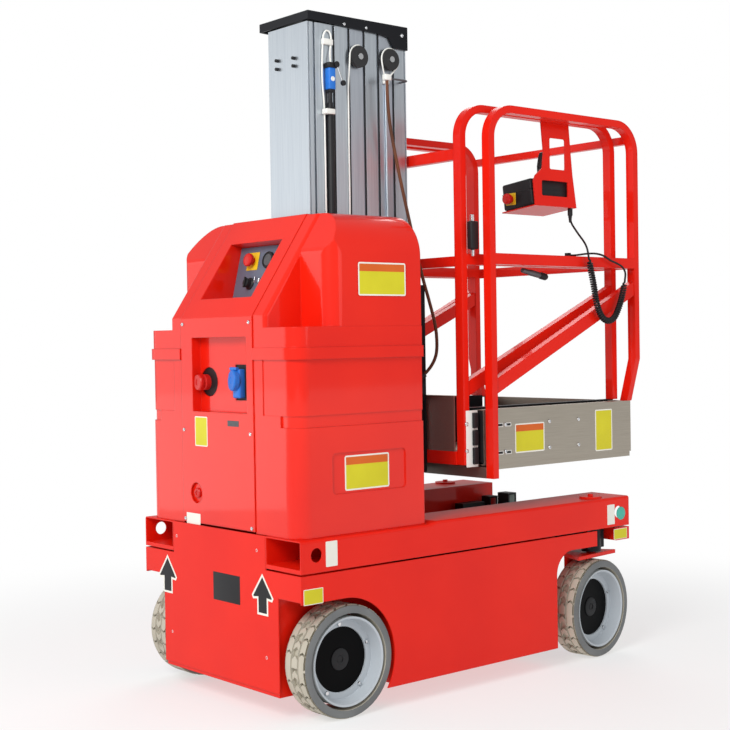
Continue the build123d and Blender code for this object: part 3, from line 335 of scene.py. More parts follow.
def finishPiece(piece, name, body, slotName, material=None, turn=None):
    piece.name = name
    piece.data.name = name
    if turn:
        piece.data.transform(turn)
    if material:
        paintWith(piece, material)
    bpy.ops.object.select_all(action="DESELECT")
    piece.select_set(True)
    bpy.context.view_layer.objects.active = piece
    bpy.ops.object.shade_smooth_by_angle(angle=radians(smoothAngle))
    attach(piece, body)
    return piece


def copyPiece(source, name, body, slotName, turn):
    piece = source.copy()
    piece.data = source.data.copy()
    bpy.context.scene.collection.objects.link(piece)
    return finishPiece(piece, name, body, slotName, None, turn)


# slot and material of the usual looks
black = ("black_plastic", blackMoulding)
white = ("white_plastic", whiteMoulding)
blue = ("blue_plastic", blueMoulding)
red = (None, redMoulding)
chrome = ("brushed_plate", chromePlate)


def buildPieces(settings, rows):
    # row: name, body, look, the shape's key in the settings, steps if it is turned, what takes it to its place
    made = {}
    for name, body, look, key, steps, turn in rows:
        piece = turnProfile(settings[key], steps) if steps else shapeBlock(*settings[key])
        made[name] = finishPiece(piece, name, body, *look, turn)
    return made


def closeUp():
    bpy.ops.mesh.select_all(action="SELECT")
    bpy.ops.mesh.remove_doubles(threshold=mergeDistance)
    bpy.ops.mesh.fill_holes(sides=0)
    bpy.ops.mesh.normals_make_consistent(inside=False)
    bpy.ops.object.mode_set(mode="OBJECT")


def turnProfile(profile, steps=32, twists=None):
    # a turned shape about Z, extruded loop by loop through (radius, height) pairs in millimetres
    radius, height = profile[0]
    piece = startPrimitive(bpy.ops.mesh.primitive_circle_add, vertices=steps, radius=radius * mm,
                           location=(0, 0, height * mm))
    bpy.ops.object.mode_set(mode="EDIT")
    bpy.ops.mesh.select_mode(type="VERT")
    bpy.ops.mesh.select_all(action="SELECT")
    for row, (before, after) in enumerate(zip(profile, profile[1:])):
        rise = (0, 0, (after[1] - before[1]) * mm)
        bpy.ops.mesh.extrude_region_move(TRANSFORM_OT_translate={"value": rise})
        scale = after[0] / before[0]
        bpy.ops.transform.resize(value=(scale, scale, 1), center_override=(0, 0, 0))
        if twists:
            bpy.ops.transform.rotate(value=radians(twists[row]), orient_axis="Z", center_override=(0, 0, 0))
    closeUp()
    return piece


def shapeBlock(low, high, edge, segments=3):
    # a block with rounded edges, in millimetres in the piece's own frame
    size = [(b - a) * mm for a, b in zip(low, high)]
    middle = [(a + b) / 2 * mm for a, b in zip(low, high)]
    piece = startPrimitive(bpy.ops.mesh.primitive_cube_add, size, size=1, location=middle)
    bpy.ops.object.mode_set(mode="EDIT")
    bpy.ops.mesh.select_all(action="SELECT")
    bpy.ops.mesh.bevel(offset=edge * mm, segments=segments)
    bpy.ops.object.mode_set(mode="OBJECT")
    return piece


# Cords come first: the control box's curly lead and the mast hose

cordSettings = {
    "lead": [(507, -300, 1416), (507, -300, 1396), (501, -325, 1370), (491, -352, 1347),
             (480, -380, 1326), (466, -405, 1303)],
    "coil": [(472, -405, 1276), (480, -405, 1240), (496, -405, 1184), (508, -405, 1122), (538, -405, 1076),
             (586, -405, 1074), (617, -405, 1115), (641, -405, 1170), (648, -405, 1206)],
    "tail": [(654, -405, 1229), (638, -405, 1249), (607, -405, 1260), (577, -405, 1267),
             (554, -398, 1283), (540, -376, 1291), (528, -346, 1291), (518, -320, 1288), (504, -310, 1287),
             (488, -310, 1287)],
    "diameter": 6.4,
    "coilDiameter": 21.6,
    "pitch": 7.6,
    "pointSpacing": 3.8,
    "rampLength": 26,
    "startRate": 0.12,  # how fast the coil winds at its very ends, as a part of its full rate
    "guideResolution": 24,
    "resolution": 3,
    "length": 2.74,
}
hoseSettings = {
    "route": [(-143, -156, 1800), (-143, -156, 1715), (-121, -158, 1598), (-92, -163, 1470),
              (-65, -172, 1345), (-43, -185, 1228), (-22, -199, 1135), (-5, -206, 1065),
              (-1, -207, 1008), (-5, -205, 970), (-22, -194, 934), (-36, -186, 920)],
    "diameter": 10,
    "resolution": 12,
    "length": 0.9,
}
rodResolution = 8


def drawCurve(name, points, diameter, resolution):
    curve = bpy.data.curves.new(name, "CURVE")
    curve.dimensions = "3D"
    curve.resolution_u = resolution
    curve.bevel_depth = diameter / 2 * mm
    curve.bevel_resolution = 3
    curve.use_fill_caps = True
    spline = curve.splines.new("NURBS")
    spline.points.add(len(points) - 1)
    for target, point in zip(spline.points, points):
        target.co = (*point, 1)
    spline.order_u = 3
    spline.use_endpoint_u = True
    piece = bpy.data.objects.new(name, curve)
    bpy.context.scene.collection.objects.link(piece)
    return piece


def windHelix(route, settings):
    # points of a curly cord round the line of its route
    guide = drawCurve("coilGuide", route, 0, settings["guideResolution"])
    bpy.context.view_layer.update()
    flat = bpy.data.meshes.new_from_object(guide)
    line = [v.co.copy() for v in flat.vertices]
    bpy.data.objects.remove(guide)
    total = sum((b - a).length for a, b in zip(line, line[1:]))
    radius = (settings["coilDiameter"] - settings["diameter"]) / 2 * mm
    ramp = settings["rampLength"] * mm
    slow = settings["startRate"]
    points, run, index, turn, travelled = [], 0, 0, 0, 0
    side = Vector((0, 1, 0))
    while travelled < total:
        while index < len(line) - 2 and run + (line[index + 1] - line[index]).length < travelled:
            run += (line[index + 1] - line[index]).length
            index += 1
        ahead = (line[index + 1] - line[index]).normalized()
        place = line[index] + ahead * (travelled - run)
        side = (side - ahead * side.dot(ahead)).normalized()
        # at both ends the coil opens out slowly, so that the cord never bends sharply
        part = min(1, travelled / ramp, (total - travelled) / ramp)
        part = part * part * (3 - 2 * part)
        rate = 2 * pi / (settings["pitch"] * mm) * (slow + (1 - slow) * part)
        points.append(place + (side * cos(turn) + ahead.cross(side) * sin(turn)) * radius * part)
        step = settings["pointSpacing"] * mm / sqrt(1 + (radius * part * rate) ** 2)
        travelled += step
        turn += rate * step
    return points


leadPoints = [at(*point) for point in cordSettings["lead"]]
coilPoints = windHelix([at(*point) for point in cordSettings["coil"]], cordSettings)
tailPoints = [at(*point) for point in cordSettings["tail"]]
curlyCord = drawCurve("controlCord", leadPoints + coilPoints + tailPoints, cordSettings["diameter"],
                      cordSettings["resolution"])
curlyCord.data.materials.append(cordSheath)
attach(curlyCord, "platform")
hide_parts("cord_lead", "cord_coil", "cord_tail")

hosePoints = [at(*point) for point in hoseSettings["route"]]
hose = drawCurve("mastHose", hosePoints, hoseSettings["diameter"], hoseSettings["resolution"])
hose.data.materials.append(brownHose)
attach(hose, "platform")
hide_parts("mast_hose")
print("cords laid")


def bendRod(name, body, look, diameter, route):
    # a bent cable, rod or tube along its route, as a closed mesh
    piece = drawCurve(name, [at(*point) for point in route], diameter, rodResolution)
    bpy.ops.object.select_all(action="DESELECT")
    piece.select_set(True)
    bpy.context.view_layer.objects.active = piece
    bpy.ops.object.convert(target="MESH")
    bpy.ops.object.mode_set(mode="EDIT")
    closeUp()
    return finishPiece(bpy.context.object, name, body, *look)


# Wheels: solid tyres with waved sipes, silver rims that are near black inside their dishes

tyreSettings = {
    "sipes": 24,
    "sipeAngle": 2.4,  # degrees, about 6.5 mm at the tread
    "sipeDepth": 9,
    # a sipe's faces lie outside this radius, and are smaller than this many narrow strips of the tread
    "treadFloor": 0.1515,
    "strip": (0.155, 0.0125),
    "strips": 1.8,
    # the sides, darker with painted shade: faces that look along the axle, this far from the middle
    "shadedSideNormal": 0.8,
    "shadedSideFrom": 0.044,
    # radius and distance from the tyre's middle, outwards; then how far each loop turns, in degrees
    "profile": ((131.3, -45.4), (147, -45.4), (152, -43.5), (154.6, -39), (154.8, -29), (154.8, -18),
                (150, -17), (150, -13), (154.8, -12), (154.8, 0), (154.8, 12), (150, 13), (150, 17),
                (154.8, 18), (154.8, 29), (154.6, 39), (152, 43.5), (147, 45.4), (131.3, 45.4), (131.3, -45.4)),
    "twists": (0, 0, 0, 2.2, -2.2, 0, 6, 1.4, 2.6, -2.6, -1.4, -6, 0, 2.2, -2.2, 0, 0, 0, 0),
}


def radiusOf(co):
    return sqrt(co.x ** 2 + co.y ** 2)


def makeTyre(settings):
    count = settings["sipes"] * 3
    piece = turnProfile(settings["profile"], count, settings["twists"])
    # the columns are moved together in pairs, so that every third one is a narrow sipe
    step = 2 * pi / count
    narrow = radians(settings["sipeAngle"])
    for vertex in piece.data.vertices:
        angle = atan2(vertex.co.y, vertex.co.x)
        index = round(angle / step)
        offset = angle - index * step
        base = (index // 3) * 3 * step
        place = (0, narrow, (3 * step + narrow) / 2)[index % 3]
        radius = radiusOf(vertex.co)
        angle = base + place + offset
        vertex.co.x, vertex.co.y = radius * cos(angle), radius * sin(angle)
    return piece


def cutSipes(piece, settings):
    narrow = radians(settings["sipeAngle"])
    radius, length = settings["strip"]
    largest = settings["strips"] * narrow * radius * length
    bpy.ops.object.mode_set(mode="EDIT")
    bpy.ops.mesh.select_all(action="DESELECT")
    bpy.ops.mesh.select_mode(type="FACE")
    bpy.ops.object.mode_set(mode="OBJECT")
    for face in piece.data.polygons:
        corners = [piece.data.vertices[v].co for v in face.vertices]
        outer = min(radiusOf(corner) for corner in corners)
        spans = [atan2(corner.y, corner.x) for corner in corners]
        # a face that crosses the half turn seems to span the whole circle, and is left out
        face.select = outer > settings["treadFloor"] and face.area < largest and max(spans) - min(spans) < 3
    bpy.ops.object.mode_set(mode="EDIT")
    bpy.ops.mesh.extrude_region_shrink_fatten(TRANSFORM_OT_shrink_fatten={"value": -settings["sipeDepth"] * mm})
    bpy.ops.mesh.select_all(action="SELECT")
    bpy.ops.mesh.normals_make_consistent(inside=False)
    bpy.ops.object.mode_set(mode="OBJECT")


wheelSettings = {
    "axleHeight": 155,
    "rear": (-512, 340),
    "kingpin": (543, 339),
    "offset": 12,  # from the kingpin to the middle of the front axle
    "steer": 6.3,
    "dishRadius": 0.0897,
    "hub": ((30, -1), (30, 2), (27, 3.4), (12, 4), (11, 5.4), (8, 6), (8, 4)),
    "hubHeight": 2.2,
    "bolt": ((6.5, 0), (6.5, 4), (5.6, 5.4), (3, 5.8)),
    "boltPlace": (98.5, 0, 6.8),
    "bolts": 5,
    "firstBolt": 0.3,  # as a part of the angle between two bolts
}
tyreSource = makeTyre(tyreSettings)
cutSipes(tyreSource, tyreSettings)
paintWith(tyreSource, greyTyreRubber)
# the darker grey on the faces that look along the axle is painted shade on the tyre's sides
tyreSource.data.materials.append(greyTyreShadedSide)
for face in tyreSource.data.polygons:
    if abs(face.normal.z) > tyreSettings["shadedSideNormal"] and abs(face.center.z) > tyreSettings["shadedSideFrom"]:
        face.material_index = 1
hubSource = turnProfile(wheelSettings["hub"], 32)
paintWith(hubSource, blackMoulding)
nutSource = turnProfile(wheelSettings["bolt"], 6)
paintWith(nutSource, chromePlate)
steerTurn = radians(wheelSettings["steer"])
axleHeight = wheelSettings["axleHeight"]
rearX, rearY = wheelSettings["rear"]
kingpinX, kingpinY = wheelSettings["kingpin"]
frontX = kingpinX - wheelSettings["offset"] * cos(steerTurn)
steerShift = wheelSettings["offset"] * sin(steerTurn)
wheels = {
    # middle of the tyre, and the way that its outer face looks
    "rear_right": (at(rearX, -rearY, axleHeight), (0, -1, 0)),
    "rear_left": (at(rearX, rearY, axleHeight), (0, 1, 0)),
    "front_right": (at(frontX, -kingpinY - steerShift, axleHeight), (sin(steerTurn), -cos(steerTurn), 0)),
    "front_left": (at(frontX, kingpinY - steerShift, axleHeight), (-sin(steerTurn), cos(steerTurn), 0)),
}
for name, (centre, outwards) in wheels.items():
    turn = facing(centre, outwards)
    body = "wheel_" + name
    tyre = copyPiece(tyreSource, "treadTyre_" + name, body, "tyre", turn)
    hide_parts("tyre_" + name)
    enamel = makeWheelEnamel("wheelEnamel_" + name, centre, Vector(outwards), wheelSettings["dishRadius"])
    paintWith(nodes["rim_" + name], enamel)
    hubShift = Matrix.Translation((0, 0, wheelSettings["hubHeight"] * mm))
    copyPiece(hubSource, "hubCap_" + name, body, "black_paint", turn @ hubShift)
    boltShift = Matrix.Translation([length * mm for length in wheelSettings["boltPlace"]])
    for number in range(wheelSettings["bolts"]):
        angle = 2 * pi * (number + wheelSettings["firstBolt"]) / wheelSettings["bolts"]
        spoke = Matrix.Rotation(angle, 4, "Z") @ boltShift
        copyPiece(nutSource, f"rimBolt_{name}_{number}", body, "brushed_plate", turn @ spoke)
for source in (tyreSource, hubSource, nutSource):
    bpy.data.objects.remove(source)
print("wheels made")


# Signs, all blank: a border, a field and sometimes a header

signSettings = (
    # name, middle, outwards, width, height, body, border, field, header
    ("hoodSign", (-359, -368, 1194), (0, -1, 0), 174, 92, "chassis", signWhite, signYellow, signOrange),
    ("sideSign", (-421, -364, 664), (0, -1, 0), 160, 96, "chassis", signWhite, signYellow, signOrange),
    ("boardSignLarge", (250, -350, 718), (0, -1, 0), 132, 90, "extension", signWhite, signYellow, signOrange),
    ("boardSignSmall", (600, -350, 722), (0, -1, 0), 84, 134, "extension", signWhite, signYellow, None),
    ("rearSignYellow", (-671, 78, 770), (-1, 0, 0), 64, 86, "chassis", signWhite, signYellow, None),
    ("rearPlateGrey", (-671, -83, 798), (-1, 0, 0), 54, 16, "chassis", darkCasting, darkCasting, None),
    ("rearSignWhite", (-671, 126, 514), (-1, 0, 0), 72, 32, "chassis", signWhite, signWhite, None),
    ("skirtSign", (-635, -388, 349), (0, -1, 0), 66, 42, "chassis", signWhite, signYellow, None),
    ("railLabelFront", (585, -388, 451), (0, -1, 0), 36, 64, "chassis", signWhite, signWhite, None),
    ("railLabelRear", (-571, -388, 456), (0, -1, 0), 40, 68, "chassis", signWhite, signWhite, None),
)


# the corners, the border and the header are parts of a sign's size, and its film is in millimetres
signShape = {"corner": 0.06, "border": 0.045, "header": 0.27, "film": 0.5}


def addSign(name, middle, outwards, width, height, body, border, field, header):
    less = min(width, height)
    piece = startPrimitive(bpy.ops.mesh.primitive_plane_add, (width * mm, height * mm, 1), size=1)
    for material in (border, field, header or field):
        piece.data.materials.append(material)
    bpy.ops.object.mode_set(mode="EDIT")
    bpy.ops.mesh.select_all(action="SELECT")
    bpy.ops.mesh.bevel(offset=less * signShape["corner"] * mm, segments=3, affect="VERTICES")
    bpy.ops.mesh.extrude_region_move(TRANSFORM_OT_translate={"value": (0, 0, signShape["film"] * mm)})
    bpy.ops.mesh.inset(thickness=less * signShape["border"] * mm)
    piece.active_material_index = 1
    bpy.ops.object.material_slot_assign()
    headerLow = height * (0.5 - signShape["header"]) * mm
    if header:
        bpy.ops.mesh.bisect(plane_co=(0, headerLow, 0), plane_no=(0, 1, 0))
    closeUp()
    for face in piece.data.polygons:
        if header and face.material_index == 1 and face.center.y > headerLow:
            face.material_index = 2
    finishPiece(piece, name, body, "white_plastic", None, facing(at(*middle), outwards))


for row in signSettings:
    addSign(*row)
print("signs made")


# Bolts and screws, one shape copied along the tables

boltSource = turnProfile(((7, 0), (7, 1.6), (6.2, 3.6), (4, 4.8), (3.2, 4.8), (3.2, 2.4)), 18)
paintWith(boltSource, chromePlate)
boltSettings = (
    # name, body, what turns it, scale, places
    ("coverScrew", "chassis", toRear, 0.8, ((-671, 166, 1080), (-671, -166, 1080), (-671, 166, 772),
                                            (-671, -166, 772), (-671, 166, 512), (-671, -166, 512))),
    ("boardBolt", "extension", toRight, 0.9, ((141, -350, 763), (141, -350, 682), (338, -350, 763),
                                              (338, -350, 682), (475, -350, 763), (475, -350, 682))),
    ("channelBolt", "platform", toRight, 1.0, ((-4, -330, 771), (-4, -330, 691))),
    ("capBolt", "platform", toRight, 0.9, ((-48, -118, 1952),)),
    ("capScrew", "platform", toRight, 0.7, ((-275, -118, 1957), (-190, -118, 1957))),
    ("plateScrew", "chassis", toRear, 0.9, ((-671.1, -228, 166), (-671.1, 246, 166), (-671.1, -190, 455),
                                            (-671.1, 214, 455))),
)
for name, body, turned, scale, places in boltSettings:
    for number, place in enumerate(places):
        turn = turned(place) @ Matrix.Scale(scale, 4)
        copyPiece(boltSource, f"{name}_{number}", body, "brushed_plate", turn)
bpy.data.objects.remove(boltSource)
print("bolts set")


# Instrument panel: emergency button on its yellow square, gauge, selector and key

dashSettings = {
    # X and Z of the sloped plate's edges
    "low": (-522, 1150),
    "high": (-484, 1306),
    "plate": ((-125.4, 0.4, -3), (125.4, 160, 0), 0.8),
    # each place is sideways and upwards from the middle of the lower edge
    "stopPlace": (52, 112),
    "stop": ((10, 0), (10, 9), (16, 11), (19.6, 15), (19.9, 21), (18, 24), (13, 25.6), (6, 26)),
    "square": ((-27, -27, 0), (27, 27, 2), 1),
    "gaugePlace": (-26, 112),
    "gauge": ((25, 0), (25, 6), (23.6, 8), (21.5, 8), (21, 6.2), (5, 6.2)),
    "dial": ((17, 6.1), (17, 6.8), (4, 6.8)),
    "selectorPlace": (48, 46),
    "selector": ((18, 0), (18, 3), (16, 5), (14.5, 6), (13, 18.4), (6, 19)),
    "grip": ((-3, -16, 18), (3, 16, 24), 1.5),
    "lockPlace": (-12, 49),
    "lock": ((9.6, 0), (9.6, 12), (8.6, 14.4), (4, 14.6)),
    "key": ((-1, -9, 14), (1, 9, 30), 0.6),
}
dashLow, dashHigh = dashSettings["low"], dashSettings["high"]
dashLean = atan2(dashHigh[1] - dashLow[1], dashHigh[0] - dashLow[0])


def onDash(y, rise):
    place = at(dashLow[0] + rise / tan(dashLean), y, dashLow[1] + rise)
    return facing(place, (-sin(dashLean), 0, cos(dashLean)))


stopTurn, gaugeTurn, selectorTurn, lockTurn = (
    onDash(*dashSettings[key]) for key in ("stopPlace", "gaugePlace", "selectorPlace", "lockPlace"))
panel = buildPieces(dashSettings, (
    ("instrumentPlate", "chassis", ("brushed_plate", dashPlate), "plate", None, onDash(0, 0)),
    ("panelEmergencyButton", "chassis", red, "stop", 40, stopTurn),
    ("panelYellowSquare", "chassis", ("white_plastic", safetyYellow), "square", None, stopTurn),
    ("panelGauge", "chassis", black, "gauge", 40, gaugeTurn),
    ("panelGaugeDial", "chassis", (None, darkCasting), "dial", 40, gaugeTurn),
    ("panelSelector", "chassis", black, "selector", 32, selectorTurn),
    ("panelSelectorGrip", "chassis", black, "grip", None, selectorTurn),
    ("panelKeySwitch", "chassis", chrome, "lock", 28, lockTurn),
    ("panelKey", "chassis", chrome, "key", None, lockTurn),
))
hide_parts("control_panel")
print("instrument panel dressed")


# Charging recess: battery plug, blue socket with its lid, and the drain plug below, in front of a dark block
# that is painted shade in the recess

socketSettings = {
    # the dark block at the back of the recess is painted shade
    "recessShade": ((-638, -118, 852), (-628, 128, 972), 1),
    "plug": ((23, -6), (23, 12), (20.5, 14), (20.5, 20), (23.5, 22), (23.5, 29), (21, 32),
             (9, 32.6), (8, 30.4)),
    "plugPlace": (-638, 93, 911),
    "plugOut": (-1, 0.12, 0),
    "lid": ((26, -2), (30, 0), (30, 13), (27.5, 16), (10, 16.8), (9, 15.4)),
    "lidPlace": (-650, -72, 918),
    "lidOut": (-1, 0.3, 0.06),
    "socket": ((-656, -96, 868), (-634, -60, 950), 5),
    "hinge": ((5, -16), (5, 16), (4, 17)),
    "hingePlace": (-657, -72, 951),
    "drain": ((15, 0), (15, 5), (13, 7), (7, 7.4), (6, 5)),
    "drainPlace": (-664, 108, 590),
    "drainBacking": ((36, 0), (36, 3), (33, 4)),
    "drainBackingPlace": (-660, 108, 590),
}
plugTurn = facing(at(*socketSettings["plugPlace"]), socketSettings["plugOut"])
lidTurn = facing(at(*socketSettings["lidPlace"]), socketSettings["lidOut"])
hingeTurn = facing(at(*socketSettings["hingePlace"]), (0, 1, 0))
sockets = buildPieces(socketSettings, (
    ("socketRecessShade", "chassis", black, "recessShade", None, chassisShift),
    ("batteryPlug", "chassis", red, "plug", 36, plugTurn),
    ("chargeLid", "chassis", blue, "lid", 40, lidTurn),
    ("chargeSocketBody", "chassis", blue, "socket", None, chassisShift),
    ("chargeLidHinge", "chassis", blue, "hinge", 20, hingeTurn),
    ("drainPlug", "chassis", red, "drain", 30, toRear(socketSettings["drainPlace"])),
    ("drainBacking", "chassis", (None, hoodGelcoat), "drainBacking", 36,
     toRear(socketSettings["drainBackingPlace"])),
))
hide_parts("sockets")
print("charging recess dressed")


# Control box under its hanger: a rounded case, emergency button and joystick

boxSettings = {
    "hinge": (0, -308, 1443),  # the tray leans down from here towards the platform
    "lean": -6,
    "case": ((325, -306, 1443.3), (505, -180, 1527), 7, 4),
    "seam": ((324.4, -306.6, 1492), (505.6, -179.4, 1495), 0.6, 2),
    "stopPlace": (325, -213, 1466),
    "stop": ((12, 0), (12, 8), (14, 10), (17, 13), (17.4, 19), (16, 23.5), (11, 25.6), (4, 26)),
    "square": ((-21, -19, -0.5), (21, 19, 1.6), 1),
    "stickLine": ((424, -240, 1509), (447, -240, 1621)),
    "stick": ((21, 0), (21, 4), (18, 7), (19, 11), (15, 15), (15.6, 19), (10, 25), (7, 30), (7, 44), (10, 48),
              (12.5, 62), (12, 84), (13, 100), (11, 110), (5, 114)),
    "trigger": ((-16, -4, 60), (-10, 4, 96), 2),
    "reliefPlace": (507, -300, 1419),
    "relief": ((7, 0), (7, 4), (5.8, 6), (6.2, 9), (5, 12), (5.4, 15), (4.4, 18), (4.6, 21), (3.6, 26)),
}
hinge = Matrix.Translation(at(*boxSettings["hinge"]))
caseTurn = hinge @ Matrix.Rotation(radians(boxSettings["lean"]), 4, "X") @ hinge.inverted() @ chassisShift
stopTurn = toRear(boxSettings["stopPlace"])
foot, top = (Vector(place) for place in boxSettings["stickLine"])
stickTurn = facing(at(*foot), top - foot, (0, 1, 0))
reliefTurn = facing(at(*boxSettings["reliefPlace"]), (0, 0, -1), (0, 1, 0))
box = buildPieces(boxSettings, (
    ("controlCase", "platform", black, "case", None, caseTurn),
    ("controlCaseSeam", "platform", black, "seam", None, caseTurn),
    ("boxEmergencyButton", "platform", red, "stop", 40, stopTurn),
    ("boxYellowSquare", "platform", (None, safetyYellow), "square", None, stopTurn),
    ("joystick", "platform", black, "stick", 28, stickTurn),
    ("joystickTrigger", "platform", black, "trigger", None, stickTurn),
    ("cordRelief", "platform", black, "relief", 20, reliefTurn),
))
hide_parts("control_box")
print("control box made")


# Limit switch on the rear column, with its lever and its conduit, and the clips of the cables and the hose

switchSettings = {
    "body": ((-345, -133, 1758), (-321, -111, 1821), 3),
    "crown": ((-348, -136, 1820), (-314, -112, 1836), 4),
    "foot": ((-342, -131, 1750), (-323, -112, 1760), 2),
    "conduitClip": ((-359, -134, 1685), (-324, -111, 1701), 3),
    "cableClip": ((-358, -123, 1888), (-320, -111, 1906), 3),
    "hoseClip": ((-156, -165, 1800), (-131, -148, 1818), 3),
    "pulleyClip": ((-123, -121, 1798), (-101, -111, 1814), 3),
    "conduitPlace": (-334, -121.5, 531),
    "conduitLength": 1197,
    "pivot": (-322, -138, 1830),
    "rollerPlace": (-299, -139, 1778),
    "roller": ((4, -3), (7.5, -3), (8, -2), (8, 4), (7.5, 5), (4, 5)),
    "shaft": ((6, -12), (6, 1), (9, 1), (9, 3.4), (6, 4)),
    "cover": ((7, 0), (7, 1.4), (5.6, 2), (5, 1.2)),
    "coverPlace": (-333, -133, 1788),
}
length = switchSettings["conduitLength"]
# the conduit ends in a ribbed strain relief below the switch
switchSettings["conduit"] = ((8, 0), (10, 2), (10, length - 34), (9, length - 30), (9.6, length - 22),
                             (7.6, length - 18), (8.2, length - 10), (6, length - 6), (6, length + 22))
pivot, roller = (Vector(switchSettings[key]) for key in ("pivot", "rollerPlace"))
switchSettings["lever"] = ((-3, -5, 0), (3, (roller - pivot).length + 3, 2.4), 1)
leverTurn = facing(at(*pivot), (0, -1, 0), roller - pivot)
switch = buildPieces(switchSettings, (
    *((name, body, look, key, None, chassisShift) for name, body, look, key in (
        ("switchBody", "chassis", blue, "body"),
        ("switchCrown", "chassis", black, "crown"),
        ("switchFoot", "chassis", black, "foot"),
        ("conduitClip", "chassis", white, "conduitClip"),
        ("cableClipTop", "chassis", white, "cableClip"),
        ("hoseClipBlock", "platform", white, "hoseClip"),
        ("pulleyClip", "mast_5", white, "pulleyClip"),
    )),
    ("switchConduit", "chassis", black, "conduit", 28, upright(switchSettings["conduitPlace"])),
    ("switchLever", "chassis", chrome, "lever", None, leverTurn),
    ("switchRoller", "chassis", black, "roller", 24, toRight(roller)),
    ("switchShaft", "chassis", black, "shaft", 24, toRight(pivot)),
    ("switchCover", "chassis", white, "cover", 28, toRight(switchSettings["coverPlace"])),
))
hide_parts("mast_switch")
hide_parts("hose_clip")

# Cables of the mast: each is taut on its pulley, and goes up and down with its own column

cableReach = 34.5  # from a pulley's middle to the middle of the cable round it


def roundPulley(x, y, z, angles):
    return [(x + cableReach * cos(radians(a)), y, z + cableReach * sin(radians(a))) for a in angles]


cableSettings = (
    # name, body, slot and material, diameter, route
    ("rearCableLoop", "chassis", white, 5.4,
     ((-350, -114.2, 1330), (-350, -114.2, 1690), (-353, -114.5, 1730), (-359, -115, 1790), (-356, -115, 1870),
      (-354, -116, 1900), (-352, -116, 1916), (-346, -116, 1927), (-337, -116, 1931), (-328, -116, 1927),
      (-323, -116, 1915), (-324, -116, 1895), (-330, -118, 1870), (-332, -121, 1850), (-332, -123, 1832))),
    ("pulleyCableRear", "mast_3", white, 5,
     ((-259.5, -113.6, 1330), (-259.5, -113.8, 1740), (-259.5, -116, 1790), (-259, -122, 1840),
      *roundPulley(-224, -123, 1866, (180, 160, 140, 120, 100, 84)))),
    ("pulleyCableFront", "mast_5", white, 5,
     ((-114, -115, 1806), (-120, -119, 1822), (-130, -123, 1846),
      *roundPulley(-100, -123, 1872, (196, 170, 145, 120, 95, 70, 45, 20, -5, -25)),
      (-82, -123, 1842), (-100, -119, 1822), (-108, -115, 1806))),
    ("pulleyCableTube", "mast_5", ("anodised_aluminium", anodisedMast), 8,
     ((-112, -115, 1330), (-112, -115, 1500), (-112, -115, 1800))),
    ("hoseClipArm", "platform", ("dark_steel", darkCasting), 6,
     ((-143, -148, 1809), (-80, -148, 1809), (-60, -148, 1809), (-54, -145, 1809), (-53, -135, 1809),
      (-53, -112, 1809))),
)
for row in cableSettings:
    bendRod(*row)

# Stud ends on the rear column's back, and dark strips of painted shade at the seams between the columns

studSettings = {
    "profile": ((5, 0), (5, 9), (4, 10), (2.6, 10.4)),
    "places": ((-408, 31, 1857), (-408, 31, 1832), (-408, -50, 1852), (-408, -50, 1829)),
}
studSource = turnProfile(studSettings["profile"], 14)
paintWith(studSource, blackMoulding)
for number, place in enumerate(studSettings["places"]):
    copyPiece(studSource, f"mastBolt_{number}", "chassis", "black_plastic", toRear(place))
bpy.data.objects.remove(studSource)
seamShadeSettings = {
    "seams": (-308, -250, -191, -136, -76),
    "behind": (5.6, 1.6),  # the strip's rear and front edges, behind the seam
    "depth": (-111.8, -110.9),
    "height": (1300, 1948),
}
# each strip is a thin dark sheet that paints the shade along a seam
for number, seam in enumerate(seamShadeSettings["seams"], 1):
    corners = zip((seam - seamShadeSettings["behind"][0], seam - seamShadeSettings["behind"][1]), seamShadeSettings["depth"],
                  seamShadeSettings["height"])
    strip = shapeBlock(*corners, 0.3, 1)
    finishPiece(strip, f"seamShadeStrip_{number}", "chassis" if number == 1 else f"mast_{number}", *black,
                chassisShift)
print("limit switch and cables dressed")


# Chassis details: lamp glasses, fork arrows, rear plate, disc in the tie-down hole and the front sign

lampSettings = (
    # X from and to, Y, height above the deck tray, material
    ((626, 654), 100, 61, lampGlass),
    ((606, 634), 172, 46, redMoulding),
)
paneSettings = {"gap": 0.3, "faces": (1.5, 5.6), "foot": 12.3, "edge": 1}
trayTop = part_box("deck_lamps")[0][2] / mm
for number, ((low, high), y, height, material) in enumerate(lampSettings):
    gap = paneSettings["gap"]
    outer, inner = paneSettings["faces"]
    pane = shapeBlock((low + gap, y + outer, trayTop + paneSettings["foot"]),
                      (high - gap, y + inner, trayTop + height - gap), paneSettings["edge"])
    finishPiece(pane, f"lampGlass_{number}", "chassis", None, material, chassisShift)

arrowSettings = {
    # outline from its tip, sideways and upwards
    "outline": ((0, 57), (-50, -6), (-44, -16), (-25, -14), (-25, -57), (25, -57), (25, -14),
                (44, -16), (50, -6)),
    "border": 6,
    "places": ((-674.7, -214, 337), (-674.7, 266, 337)),
}
for number, place in enumerate(arrowSettings["places"]):
    outline = arrowSettings["outline"]
    arrow = startPrimitive(bpy.ops.mesh.primitive_circle_add, vertices=len(outline), radius=0.05,
                           fill_type="NGON")
    for vertex, (x, y) in zip(arrow.data.vertices, outline):
        vertex.co = (x * mm, y * mm, 0)
    for material in (signWhite, blackMoulding):
        arrow.data.materials.append(material)
    bpy.ops.object.mode_set(mode="EDIT")
    bpy.ops.mesh.select_all(action="SELECT")
    bpy.ops.mesh.extrude_region_move(TRANSFORM_OT_translate={"value": (0, 0, signShape["film"] * mm)})
    bpy.ops.mesh.inset(thickness=arrowSettings["border"] * mm)
    arrow.active_material_index = 1
    bpy.ops.object.material_slot_assign()
    closeUp()
    finishPiece(arrow, f"forkArrow_{number}", "chassis", "white_plastic", None, toRear(place))

